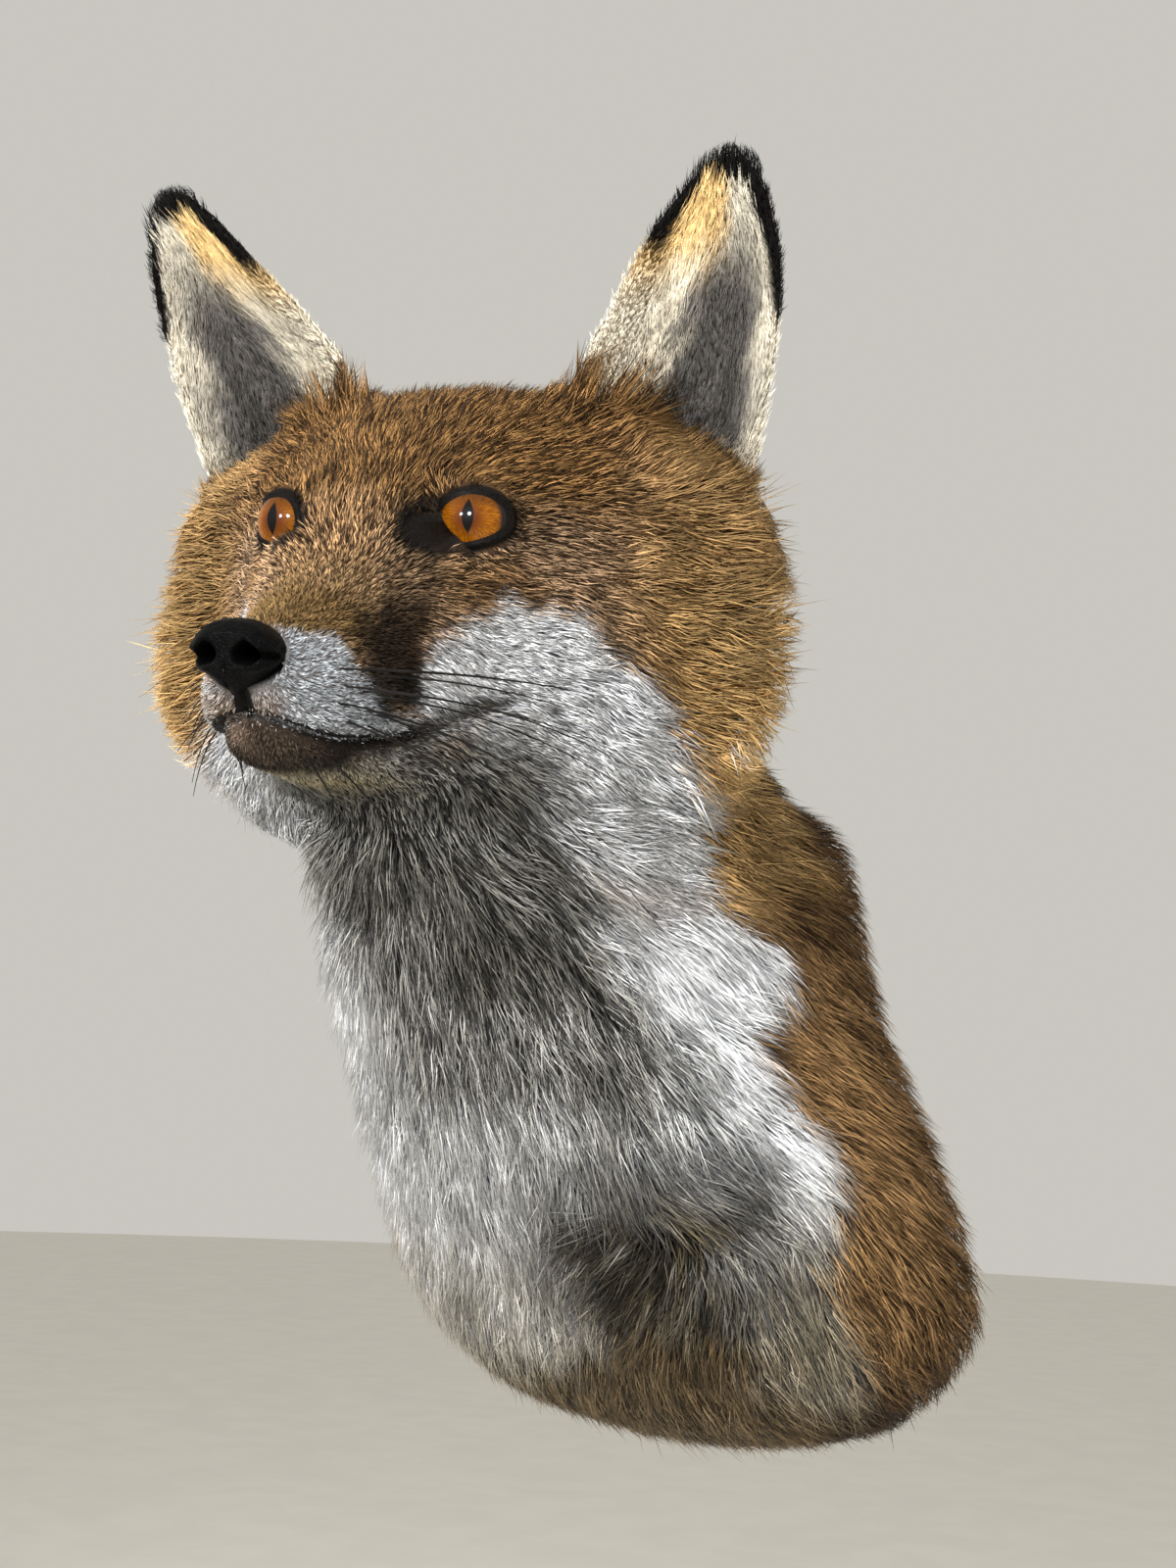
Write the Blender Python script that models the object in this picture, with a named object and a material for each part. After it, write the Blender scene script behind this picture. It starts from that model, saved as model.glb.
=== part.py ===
"""Red fox shoulder mount: head, neck and chest of a fox on a wooden backboard that hangs flat on a wall.

Origin at the middle of the board's flat back. The wall is the plane y = 0, the fox looks toward -Y and a
little to its own left, which is +X, and +Z is up. Each body solid is the outer shape, out to the hair tips.
"""

import bmesh
import bpy
from math import cos, pi, radians, sin
from mathutils import Matrix, Vector

mm = 0.001

# Driving dimensions
EYES_FROM_WALL = 175 * mm
EYES_TO_LEFT = 25 * mm
EYES_HEIGHT = 135 * mm
HEAD_TURN = radians(23.2)
HEAD_NOD = radians(12)
HEAD_TILT = radians(2.8)
PUPIL_SPACING = 52 * mm
EYEBALL = 18 * mm
GAZE_OUT = radians(10)
LID_OPENING = (11, 8, 5.2)
SEAM = 0.4 * mm
LID_SLANT = radians(14)
BOARD_THICKNESS = 12 * mm
COAT_AT_BOARD = 12 * mm
COAT_SHORT_OF_WALL = 2.5 * mm
HANGER_WIDTH = 46 * mm
HANGER_TALL = 11 * mm
HANGER_SHEET = 1.2 * mm
HANGER_TEETH = 9
HANGER_HEIGHT = 62 * mm
RECESS_DEPTH = 3.2 * mm
FIT = 0.5 * mm
HANGER_RAISE = 1.6 * mm
HANGER_FOOT = 9 * mm
HANGER_STEP = 2 * mm
TOOTH_TALL = 2.6 * mm
RECESS_MARGIN = 4 * mm
RING_POINTS = 48
GRAIN = 2.6 * mm
BODY_TRIANGLES = 3900

# Head sections from the nose back: forward, top, bottom, half width, height of widest, top and bottom power
HEAD_SECTIONS = [
    (61, -32, -50, 9.5, -42, 2.2, 2.2),
    (55, -28.5, -56, 13.5, -46, 2.2, 2.3),
    (45, -24, -61.5, 16.5, -49, 2.2, 2.5),
    (33, -18, -63, 19.5, -50, 2.3, 2.6),
    (22, -10.5, -65, 23, -48, 2.6, 2.6),
    (12, -1, -67, 27, -43, 3.1, 2.4),
    (3, 8, -70, 31, -37, 3.1, 2.3),
    (-8, 16, -73, 37, -31, 2.9, 2.2),
    (-20, 25, -77, 45, -27, 2.5, 2.2),
    (-30, 32, -81, 54, -28, 2.4, 2.2),
    (-40, 38, -85, 68, -30, 2.3, 2.3),
    (-50, 42.5, -89, 86, -29, 2.2, 2.4),
    (-58, 45, -90, 94, -27, 2.1, 2.4),
    (-66, 46, -88, 94, -24, 2.1, 2.4),
    (-75, 45, -82, 89, -21, 2.1, 2.3),
    (-85, 40, -71, 79, -18, 2.1, 2.2),
    (-95, 31, -57, 62, -14, 2, 2),
    (-104, 16, -38, 38, -11, 2, 2),
]
# Chest sections upward: height above the origin, half width at the wall, reach from the wall, shift to the left
CHEST_SECTIONS = [
    (-97, 24, 10, 0),
    (-92, 52, 24, 0),
    (-83, 77, 39, 0),
    (-69, 94, 55, 0),
    (-52, 101, 70, 0),
    (-34, 98, 89, 1),
    (-12, 89, 110, 2),
    (8, 79, 128, 3),
    (28, 70, 145, 5),
    (48, 64, 158, 8),
    (66, 60, 166, 11),
    (80, 54, 158, 13),
    (90, 43, 110, 12),
    (97, 27, 60, 8),
    (100, 12, 20, 4),
]
# Neck sections from the wall forward: reach, height of middle, half width, half height, shift to the left
NECK_SECTIONS = [
    (0, 54, 58, 44, 0),
    (30, 65, 58, 47, 0),
    (60, 82, 59, 51, 1),
    (88, 100, 61, 55, 2),
    (112, 114, 62, 57, 4),
]
# Ear sections from base to tip: inner edge, outer edge (left, forward, up) and depth of the cup
EAR_SECTIONS = [
    ((44, -66, 26), (70, -68, -2), 10),
    ((34, -58, 47), (80, -65, 12), 20),
    ((40, -54, 58), (84, -60, 31), 21),
    ((48, -47, 68), (89, -54, 50), 17),
    ((57, -40, 78), (91, -48, 67), 12),
    ((65, -37, 87), (90, -42, 80), 7),
    ((72, -37, 93), (87, -39, 89), 3),
    ((78, -38, 96), (82, -38.5, 95), 0.6),
]
EAR_BACK = Vector((0, -0.943, 0.331))
EAR_WALL = 4.5 * mm
EAR_RIM = 2.6 * mm
EAR_STEPS = 9
EAR_ROUND = 0.75
CHEST_POWER = 2.3
NOSE_POWER = 2.5
NOSE_NARROWING = 0.35
# Nose pad sections from the face forward: forward, top, bottom, half width, height of widest
NOSE_SECTIONS = [
    (53, -31, -43, 7, -36),
    (58, -29.5, -44.5, 10.5, -36),
    (63, -28.8, -45, 11.3, -36),
    (67, -29.6, -44, 10.6, -36),
    (69.5, -32, -42, 7.5, -36),
]
NOSTRIL = (5.4, 69, -36.5)
NOSTRIL_SIZE = (2.1, 3.4, 2.6)
# Side outline of the lower jaw: forward, up
JAW_OUTLINE = [
    (80, -52),
    (55, -53.5),
    (38, -54.5),
    (20, -52.5),
    (5, -47.5),
    (-8, -43.5),
    (-14, -52),
    (-8, -62),
    (6, -70.5),
    (24, -75),
    (80, -78),
]
# Seams in side view: (forward, up) in the head's own axes, and (reach, height) at the wall
NAPE_SEAM = ((-94, 14), (-22, -84))
SHOULDER_SEAM = ((0, 62), (170, 12))


def clearScene():
    for item in list(bpy.data.objects):
        bpy.data.objects.remove(item, do_unlink=True)


def headMatrix():
    """Head axes as columns: left, forward, up, with the origin midway between the pupils."""
    base = Matrix(((1, 0, 0), (0, -1, 0), (0, 0, 1)))
    tilt = Matrix(((cos(HEAD_TILT), 0, sin(HEAD_TILT)), (0, 1, 0), (-sin(HEAD_TILT), 0, cos(HEAD_TILT))))
    nod = Matrix(((1, 0, 0), (0, cos(HEAD_NOD), sin(HEAD_NOD)), (0, -sin(HEAD_NOD), cos(HEAD_NOD))))
    turn = Matrix.Rotation(HEAD_TURN, 3, "Z")
    axes = (turn @ base @ nod @ tilt).to_4x4()
    return Matrix.Translation((EYES_TO_LEFT, -EYES_FROM_WALL, EYES_HEIGHT)) @ axes


def inHead(left, forward, up):
    """A point given in millimetres in the head's own axes."""
    return headMatrix() @ Vector((left * mm, forward * mm, up * mm))


def addMesh(name, bm):
    bmesh.ops.recalc_face_normals(bm, faces=bm.faces)
    mesh = bpy.data.meshes.new(name)
    bm.to_mesh(mesh)
    bm.free()
    thing = bpy.data.objects.new(name, mesh)
    bpy.context.scene.collection.objects.link(thing)
    return thing


def loft(name, rings):
    """A closed body through rings of equal length."""
    bm = bmesh.new()
    loops = [[bm.verts.new(point) for point in ring] for ring in rings]
    count = len(rings[0])
    for first, second in zip(loops, loops[1:]):
        for i in range(count):
            j = (i + 1) % count
            bm.faces.new((first[i], first[j], second[j], second[i]))
    bm.faces.new(loops[0])
    bm.faces.new(loops[-1])
    return addMesh(name, bm)


def flatten(section):
    row = []
    for value in section:
        row.extend(flatten(value) if isinstance(value, tuple) else [value])
    return row


def between(sections, steps):
    """Rows on a smooth curve through the given sections, with some steps from each to the next."""
    rows = [flatten(section) for section in sections]
    fine = []
    for k in range(len(rows) - 1):
        before = rows[max(k - 1, 0)]
        after = rows[min(k + 2, len(rows) - 1)]
        for step in range(steps):
            t = step / steps
            row = []
            for a, b, c, d in zip(before, rows[k], rows[k + 1], after):
                bend = 2 * b + (c - a) * t + (2 * a - 5 * b + 4 * c - d) * t**2 + (3 * b - a - 3 * c + d) * t**3
                row.append(bend / 2)
            fine.append(row)
    fine.append(rows[-1])
    return fine


def signedPower(value, power):
    return abs(value) ** power * (1 if value >= 0 else -1)


def headRing(section):
    forward, top, bottom, half, level, topPower, bottomPower = section
    ring = []
    for i in range(RING_POINTS):
        turn = 2 * pi * i / RING_POINTS
        power = topPower if sin(turn) >= 0 else bottomPower
        reach = top - level if sin(turn) >= 0 else level - bottom
        left = half * signedPower(cos(turn), 2 / power)
        up = level + reach * signedPower(sin(turn), 2 / power)
        ring.append(inHead(left, forward, up))
    return ring


def chestRing(section):
    height, half, reach, shift = section
    ring = []
    for i in range(RING_POINTS):
        turn = pi * i / (RING_POINTS - 1)
        left = half * signedPower(cos(turn), 2 / CHEST_POWER)
        out = reach * abs(sin(turn)) ** (2 / CHEST_POWER)
        drift = shift * (out / reach) ** 2
        ring.append(Vector(((left + drift) * mm, -out * mm, height * mm)))
    return ring


def neckRing(section):
    reach, middle, half, tall, shift = section
    ring = []
    for i in range(RING_POINTS):
        turn = 2 * pi * i / RING_POINTS
        ring.append(Vector(((shift + half * cos(turn)) * mm, -reach * mm, (middle + tall * sin(turn)) * mm)))
    return ring


def earRing(section, side):
    """Crescent from the inner edge over the back to the outer edge and home along the hollow."""
    start = Vector((side * section[0], section[1], section[2])) * mm
    end = Vector((side * section[3], section[4], section[5])) * mm
    depth = section[6] * mm
    ring = []
    for way in (1, -1):
        for i in range(EAR_STEPS + 1)[::way]:
            t = i / EAR_STEPS
            bulge = sin(pi * t) ** EAR_ROUND
            thick = EAR_RIM / 2 + (EAR_WALL - EAR_RIM) * bulge / 2
            middle = start.lerp(end, t) + EAR_BACK * bulge * depth
            ring.append(headMatrix() @ (middle + EAR_BACK * way * thick))
    return ring


def noseRing(section):
    forward, top, bottom, half, level = section
    ring = []
    for i in range(RING_POINTS // 2):
        turn = 4 * pi * i / RING_POINTS
        reach = top - level if sin(turn) >= 0 else level - bottom
        narrow = 1 if sin(turn) >= 0 else 1 + NOSE_NARROWING * sin(turn)
        left = half * signedPower(cos(turn), 2 / NOSE_POWER) * narrow
        ring.append(inHead(left, forward, level + reach * signedPower(sin(turn), 2 / NOSE_POWER)))
    return ring


def ellipsoid(name, middle, radii, detail, slant=None):
    """An ellipsoid in the head's own axes, in millimetres, turned about its middle by an optional matrix."""
    bm = bmesh.new()
    bmesh.ops.create_icosphere(bm, subdivisions=detail, radius=mm)
    bmesh.ops.scale(bm, vec=radii, verts=bm.verts)
    if slant:
        bmesh.ops.rotate(bm, matrix=slant, verts=bm.verts)
    bmesh.ops.translate(bm, vec=Vector(middle) * mm, verts=bm.verts)
    bmesh.ops.transform(bm, matrix=headMatrix(), verts=bm.verts)
    return addMesh(name, bm)


def box(name, low, high):
    bm = bmesh.new()
    bmesh.ops.create_cube(bm, size=1)
    bmesh.ops.scale(bm, vec=Vector(high) - Vector(low), verts=bm.verts)
    bmesh.ops.translate(bm, vec=(Vector(high) + Vector(low)) / 2, verts=bm.verts)
    return addMesh(name, bm)


def prism(name, outline, low, high):
    """An outline of vectors, pulled from one of the two offsets to the other."""
    return loft(name, [[point + low for point in outline], [point + high for point in outline]])


def settle(thing):
    """Turn an object's modifiers into plain geometry."""
    bpy.context.view_layer.update()
    graph = bpy.context.evaluated_depsgraph_get()
    mesh = bpy.data.meshes.new_from_object(thing.evaluated_get(graph))
    thing.modifiers.clear()
    thing.data = mesh
    return thing


def melt(name, pieces):
    """Grow overlapping bodies into one body with soft joins and few triangles."""
    bm = bmesh.new()
    for piece in pieces:
        bm.from_mesh(piece.data)
        bpy.data.objects.remove(piece, do_unlink=True)
    whole = addMesh(name, bm)
    remesh = whole.modifiers.new("Union", "REMESH")
    remesh.mode = "VOXEL"
    remesh.voxel_size = GRAIN
    smooth = whole.modifiers.new("Soften", "SMOOTH")
    smooth.factor = 0.5
    smooth.iterations = 6
    settle(whole)
    decimate = whole.modifiers.new("Simplify", "DECIMATE")
    decimate.ratio = BODY_TRIANGLES / (2 * len(whole.data.polygons))
    return settle(whole)


def swell(thing):
    """Grow a cutter a little on every side, so that what it makes room for has clearance."""
    displace = thing.modifiers.new("Clearance", "DISPLACE")
    displace.mid_level = 0
    displace.strength = FIT
    return settle(thing)


def cut(thing, cutter, operation="DIFFERENCE"):
    boolean = thing.modifiers.new("Cut", "BOOLEAN")
    boolean.operation = operation
    boolean.object = cutter
    boolean.solver = "EXACT"
    settle(thing)
    bpy.data.objects.remove(cutter, do_unlink=True)
    return thing


def copyOf(thing, name):
    twin = bpy.data.objects.new(name, thing.data.copy())
    bpy.context.scene.collection.objects.link(twin)
    return twin


def finish(thing, colour, roughness, metallic=0):
    surface = bpy.data.materials.new(thing.name)
    surface.use_nodes = True
    shader = surface.node_tree.nodes["Principled BSDF"]
    shader.inputs["Base Color"].default_value = (*colour, 1)
    shader.inputs["Roughness"].default_value = roughness
    shader.inputs["Metallic"].default_value = metallic
    thing.data.materials.clear()
    thing.data.materials.append(surface)
    thing.data.shade_smooth()
    thing.data.set_sharp_from_angle(angle=radians(40))


def body():
    forms = [loft("skull", [headRing(row) for row in between(HEAD_SECTIONS, 3)])]
    forms.append(loft("chestForm", [chestRing(row) for row in between(CHEST_SECTIONS, 2)]))
    forms.append(loft("neckForm", [neckRing(row) for row in between(NECK_SECTIONS, 2)]))
    whole = melt("body", forms)
    behind = box("behind", (-1, -COAT_SHORT_OF_WALL, -1), (1, 1, 1))
    return cut(whole, behind)


def boardOutline(inset):
    """Outline of the back in the wall plane, up the left side and down the right side."""
    left = []
    for row in between(CHEST_SECTIONS, 3):
        left.append(Vector((row[1] * mm, 0, row[0] * mm)))
    right = [Vector((-point.x, 0, point.z)) for point in reversed(left)]
    ring = left + right
    moved = []
    for k, point in enumerate(ring):
        way = ring[(k + 1) % len(ring)] - ring[k - 1]
        moved.append(point + Vector((-way.z, 0, way.x)).normalized() * inset)
    return moved


def board():
    outline = boardOutline(COAT_AT_BOARD)
    return prism("backboard", outline, Vector((0, -BOARD_THICKNESS, 0)), Vector((0, 0, 0)))


def recess():
    half = HANGER_WIDTH / 2 + RECESS_MARGIN
    tall = HANGER_TALL / 2 + RECESS_MARGIN
    low = (-half, -RECESS_DEPTH, HANGER_HEIGHT - tall)
    return box("recess", low, (half, 1, HANGER_HEIGHT + tall))


def hanger():
    """Sawtooth strip: two flat ends in the recess and a raised middle with teeth along its lower edge."""
    half = HANGER_WIDTH / 2
    floor = -RECESS_DEPTH + FIT
    raised = floor + HANGER_RAISE
    low = HANGER_HEIGHT - HANGER_TALL / 2
    top = HANGER_HEIGHT + HANGER_TALL / 2
    side = [(-half, floor), (-half + HANGER_FOOT, floor), (-half + HANGER_FOOT + HANGER_STEP, raised)]
    path = side + [(-x, y) for x, y in reversed(side)]
    lower = [Vector((x, y, low)) for x, y in path]
    upper = [Vector((x, y + HANGER_SHEET, low)) for x, y in reversed(path)]
    strip = prism("hanger", lower + upper, Vector((0, 0, 0)), Vector((0, 0, top - low)))
    span = 2 * (half - HANGER_FOOT - HANGER_STEP - mm)
    tooth = span / HANGER_TEETH
    saw = [Vector((-span / 2, -1, low - mm))]
    for k in range(HANGER_TEETH):
        saw.append(Vector((-span / 2 + (k + 0.05) * tooth, -1, low + mm)))
        saw.append(Vector((-span / 2 + (k + 0.5) * tooth, -1, low + mm + TOOTH_TALL)))
    saw.append(Vector((span / 2 - 0.05 * tooth, -1, low + mm)))
    saw.append(Vector((span / 2, -1, low - mm)))
    return cut(strip, prism("saw", saw, Vector((0, 0, 0)), Vector((0, 2, 0))))


def eyeMiddle(side):
    gaze = Vector((side * sin(GAZE_OUT), cos(GAZE_OUT), 0))
    return (Vector((side * PUPIL_SPACING / 2, 0, 0)) - gaze * EYEBALL / 2) / mm


def eyeball(name, side):
    radius = EYEBALL / 2 / mm
    return ellipsoid(name, eyeMiddle(side), (radius, radius, radius), 3)


def lidOpening(side):
    """Almond cut in front of the eye, long from corner to corner."""
    turn = Matrix.Rotation(-side * GAZE_OUT, 3, "Z") @ Matrix.Rotation(-side * LID_SLANT, 3, "Y")
    return ellipsoid("lids", (side * PUPIL_SPACING / 2 / mm, 0, 0), LID_OPENING, 3, turn)


def ear(name, side):
    return loft(name, [earRing(row, side) for row in between(EAR_SECTIONS, 2)])


def nosePad():
    return loft("nose_pad", [noseRing(row) for row in NOSE_SECTIONS])


def nostril(side):
    left, forward, up = NOSTRIL
    return ellipsoid("nostril", (side * left, forward, up), NOSTRIL_SIZE, 2)


def beyond(first, second, across, way):
    """Everything on one side of the seam plane through two points, with half the seam's gap."""
    along = (second - first).normalized()
    out = across.cross(along).normalized() * way
    frame = Matrix((along, out.cross(along), out)).transposed().to_4x4()
    slab = box("beyond", (-1, -1, -SEAM / 2), (1, 1, 1))
    slab.data.transform(Matrix.Translation(first) @ frame)
    return slab


def jawPrism(grow):
    """The outline of the lower jaw pulled through the head from side to side."""
    middle = Vector((sum(p[0] for p in JAW_OUTLINE), sum(p[1] for p in JAW_OUTLINE))) / len(JAW_OUTLINE)
    rings = []
    for left in (-80, 80):
        ring = []
        for k, point in enumerate(JAW_OUTLINE):
            here = Vector(point)
            way = Vector(JAW_OUTLINE[(k + 1) % len(JAW_OUTLINE)]) - Vector(JAW_OUTLINE[k - 1])
            out = Vector((-way.y, way.x)).normalized()
            if out.dot(here - middle) < 0:
                out = -out
            here = here + out * grow
            ring.append(inHead(left, here.x, here.y))
        rings.append(ring)
    return loft("jawCutter", rings)


clearScene()
fox = body()
cut(fox, swell(board()))
for side in (1, -1):
    cut(fox, lidOpening(side))
    cut(fox, swell(eyeball("socket", side)))
    cut(fox, swell(ear("earRoot", side)))
cut(fox, swell(nosePad()))

leftward = headMatrix().to_3x3().col[0]
nape = [inHead(0, *point) for point in NAPE_SEAM]
shoulder = [Vector((0, -reach * mm, height * mm)) for reach, height in SHOULDER_SEAM]
head = cut(copyOf(fox, "head"), beyond(*nape, leftward, 1))
jaw = cut(copyOf(head, "lower_jaw"), jawPrism(0), "INTERSECT")
cut(head, jawPrism(SEAM / mm))
neck = cut(copyOf(fox, "neck"), beyond(*nape, leftward, -1))
cut(neck, beyond(*shoulder, Vector((1, 0, 0)), 1))
chest = cut(fox, beyond(*shoulder, Vector((1, 0, 0)), -1))
chest.name = "chest"

for side, name in ((1, "left"), (-1, "right")):
    finish(ear("ear_" + name, side), (0.35, 0.32, 0.3), 0.9)
    finish(eyeball("eye_" + name, side), (0.5, 0.2, 0.02), 0.1)
nose = nosePad()
for side in (1, -1):
    cut(nose, nostril(side))
finish(nose, (0.02, 0.02, 0.02), 0.5)
backboard = cut(board(), recess())
finish(backboard, (0.55, 0.38, 0.22), 0.7)
finish(hanger(), (0.7, 0.7, 0.68), 0.35, 1)
finish(head, (0.3, 0.13, 0.05), 0.9)
finish(jaw, (0.25, 0.2, 0.16), 0.9)
finish(neck, (0.25, 0.23, 0.2), 0.9)
finish(chest, (0.2, 0.19, 0.17), 0.9)
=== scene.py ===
import bmesh
import bpy
import math
import numpy as np
from itertools import product
from mathutils import Matrix, Vector
from mathutils.bvhtree import BVHTree


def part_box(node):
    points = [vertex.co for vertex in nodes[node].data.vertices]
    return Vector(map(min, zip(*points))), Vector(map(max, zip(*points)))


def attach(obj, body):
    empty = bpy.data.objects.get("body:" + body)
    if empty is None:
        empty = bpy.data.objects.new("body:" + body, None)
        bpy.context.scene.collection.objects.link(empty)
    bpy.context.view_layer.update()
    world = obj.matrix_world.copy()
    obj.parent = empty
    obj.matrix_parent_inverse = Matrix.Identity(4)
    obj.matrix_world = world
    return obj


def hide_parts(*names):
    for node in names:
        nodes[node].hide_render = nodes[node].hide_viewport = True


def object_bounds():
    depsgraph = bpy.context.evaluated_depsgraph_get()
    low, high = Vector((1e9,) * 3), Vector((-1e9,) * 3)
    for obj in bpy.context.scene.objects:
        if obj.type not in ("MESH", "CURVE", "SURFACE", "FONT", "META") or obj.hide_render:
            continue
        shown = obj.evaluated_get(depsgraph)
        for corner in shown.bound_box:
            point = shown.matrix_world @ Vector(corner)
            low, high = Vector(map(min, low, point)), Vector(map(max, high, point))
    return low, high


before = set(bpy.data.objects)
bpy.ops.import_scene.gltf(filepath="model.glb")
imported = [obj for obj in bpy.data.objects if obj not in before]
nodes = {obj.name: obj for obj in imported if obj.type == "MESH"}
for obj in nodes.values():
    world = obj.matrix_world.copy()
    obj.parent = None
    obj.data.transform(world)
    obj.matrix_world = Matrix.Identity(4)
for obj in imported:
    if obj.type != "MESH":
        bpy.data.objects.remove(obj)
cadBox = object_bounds()
mm = 0.001
print("frame loaded")

# head axes: left, forward and up, from the middle between the pupils, all in millimetres
headPose = {"turn": 23.2, "nod": 12, "tilt": 2.8, "gazeOut": 10}


def axisTurn(axis, degrees):
    return np.array(Matrix.Rotation(math.radians(degrees), 3, axis))


def boxMiddle(name):
    low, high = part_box(name)
    return np.array((low + high) / 2) / mm


def makeHeadAxes():
    facing = np.diag((1.0, -1.0, 1.0))
    turned = axisTurn("Z", headPose["turn"]) @ facing
    return turned @ axisTurn("X", -headPose["nod"]) @ axisTurn("Y", headPose["tilt"])


headAxes = makeHeadAxes()
eyeLow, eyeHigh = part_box("eye_left")
eyeRadius = (eyeHigh.z - eyeLow.z) / 2 / mm
gazeForward = math.cos(math.radians(headPose["gazeOut"])) * eyeRadius
headMiddle = (boxMiddle("eye_left") + boxMiddle("eye_right")) / 2 + headAxes[:, 1] * gazeForward


def toHead(points):
    return (points - headMiddle) @ headAxes


def fromHead(points):
    return np.asarray(points, float) @ headAxes.T + headMiddle


# numbers on arrays of points
def smooth(value, low, high):
    t = np.clip((value - low) / (high - low), 0, 1)
    return t * t * (3 - 2 * t)


def columns(*parts):
    return np.stack(parts, axis=1)


def fade(value, low, high):
    return 1 - smooth(value, low, high)


def unit(ways):
    return ways / np.maximum(np.linalg.norm(ways, axis=-1, keepdims=True), 1e-9)


def alongSkin(ways, normals):
    # what is left of each way once its part along the normal is gone
    return ways - normals * (ways * normals).sum(1)[:, None]


def blend(old, new, share):
    return old + (new - old) * share


def scramble(cells, seed=0):
    # a number from 0 to 1 for each cell of a grid, the same every time
    most = 0x7FFFFFFF
    mixed = cells[:, 0] * 73856093 ^ cells[:, 1] * 19349663 ^ cells[:, 2] * 83492791 ^ (seed * 2654435)
    mixed = mixed & most
    for shift, factor in ((13, 1274126177), (16, 668265263)):
        mixed = ((mixed ^ (mixed >> shift)) * factor) & most
    return mixed / most


def softNoise(points, size, seed=0):
    # smooth noise from -1 to 1, one bump to each stretch of the given size
    spot = points / size + 100
    base = np.floor(spot).astype(np.int64)
    part = spot - base
    part = part * part * (3 - 2 * part)
    total = np.zeros(len(points))
    for corner in product((0, 1), repeat=3):
        weight = np.prod(np.where(np.array(corner), part, 1 - part), axis=1)
        total += weight * scramble(base + np.array(corner), seed)
    return total * 2 - 1


def noiseVectors(points, size, seed):
    return columns(*(softNoise(points, size, seed + k) for k in range(3)))


def nearestSeed(points, size, seed):
    # the nearest of a scatter of points, one to each cube of the given size, and its number from 0 to 1
    base = np.floor(points / size).astype(np.int64)
    best = np.full(len(points), 1e9)
    spot = np.zeros_like(points)
    number = np.zeros(len(points))
    for step in product((-1, 0, 1), repeat=3):
        cell = base + np.array(step)
        place = columns(*(cell[:, k] + scramble(cell, seed + k) for k in range(3))) * size
        far = ((place - points) ** 2).sum(1)
        closer = far < best
        best = np.where(closer, far, best)
        spot[closer] = place[closer]
        number[closer] = scramble(cell, seed + 7)[closer]
    return spot, number


def pathDistance(points, path):
    best = np.full(len(points), 1e9)
    for start, end in zip(path[:-1], path[1:]):
        way = end - start
        t = np.clip(((points - start) @ way) / (way @ way), 0, 1)
        best = np.minimum(best, np.linalg.norm(points - start - t[:, None] * way, axis=1))
    return best


def ball(points, middle, radii, soft=0.6):
    far = np.linalg.norm((points - np.array(middle)) / np.array(radii), axis=1)
    return fade(far, 1 - soft, 1 + soft)


def stripe(points, path, width, soft=0.6):
    return 1 - smooth(pathDistance(points, np.array(path, float)), width * (1 - soft), width * (1 + soft))


def bothSides(headPoints):
    # the two halves of the head are alike, so patterns are given for the left half
    mirrored = headPoints.copy()
    mirrored[:, 0] = np.abs(mirrored[:, 0])
    return mirrored


# meshes
def readRows(items, key, width, kind=np.float32):
    values = np.zeros(len(items) * width, kind)
    items.foreach_get(key, values)
    return values.reshape(-1, width)


def meshArrays(mesh):
    # points in millimetres, and normals
    points = readRows(mesh.vertices, "co", 3).astype(float) / mm
    return points, readRows(mesh.vertex_normals, "vector", 3).astype(float)


def setPoints(mesh, points):
    mesh.vertices.foreach_set("co", (points * mm).astype(np.float32).ravel())
    mesh.update()


def addObject(name, mesh):
    thing = bpy.data.objects.new(name, mesh)
    bpy.context.scene.collection.objects.link(thing)
    return thing


def settle(thing):
    bpy.context.view_layer.update()
    graph = bpy.context.evaluated_depsgraph_get()
    mesh = bpy.data.meshes.new_from_object(thing.evaluated_get(graph))
    old = thing.data
    thing.modifiers.clear()
    thing.data = mesh
    bpy.data.meshes.remove(old)
    return thing


def remesh(thing, size):
    modifier = thing.modifiers.new("Remesh", "REMESH")
    modifier.mode = "VOXEL"
    modifier.voxel_size = size * mm
    return settle(thing)


def edgesOf(mesh):
    return readRows(mesh.edges, "vertices", 2, np.int32)


def meshOf(bm, name):
    mesh = bpy.data.meshes.new(name)
    bm.to_mesh(mesh)
    bm.free()
    return mesh


def editMesh(mesh, act):
    bm = bmesh.new()
    bm.from_mesh(mesh)
    act(bm, faces=bm.faces)
    bm.to_mesh(mesh)
    bm.free()


def searchTree(meshes, size=1.0):
    # for the nearest place on some meshes, with their points divided by the size
    corners, faces = [], []
    for mesh in meshes:
        offset = len(corners)
        corners += [vertex.co / size for vertex in mesh.vertices]
        faces += [[index + offset for index in polygon.vertices] for polygon in mesh.polygons]
    return BVHTree.FromPolygons(corners, faces)


def colourPoints(mesh, colours):
    shade = mesh.color_attributes.new("coatColour", "FLOAT_COLOR", "POINT")
    four = np.concatenate([colours, np.ones((len(colours), 1))], axis=1)
    shade.data.foreach_set("color", four.astype(np.float32).ravel())


def relax(points, edges, amount, rounds):
    # pull each point towards the middle of its neighbours, by an amount given for each point
    count = len(points)
    spokes = np.bincount(edges.ravel(), minlength=count)[:, None]
    for _ in range(rounds):
        total = sum(columns(*(np.bincount(edges[:, end], points[edges[:, 1 - end], k], count)
                              for k in range(3))) for end in (0, 1))
        points = points + (total / np.maximum(spokes, 1) - points) * np.reshape(amount, (-1, 1))
    return points


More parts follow.
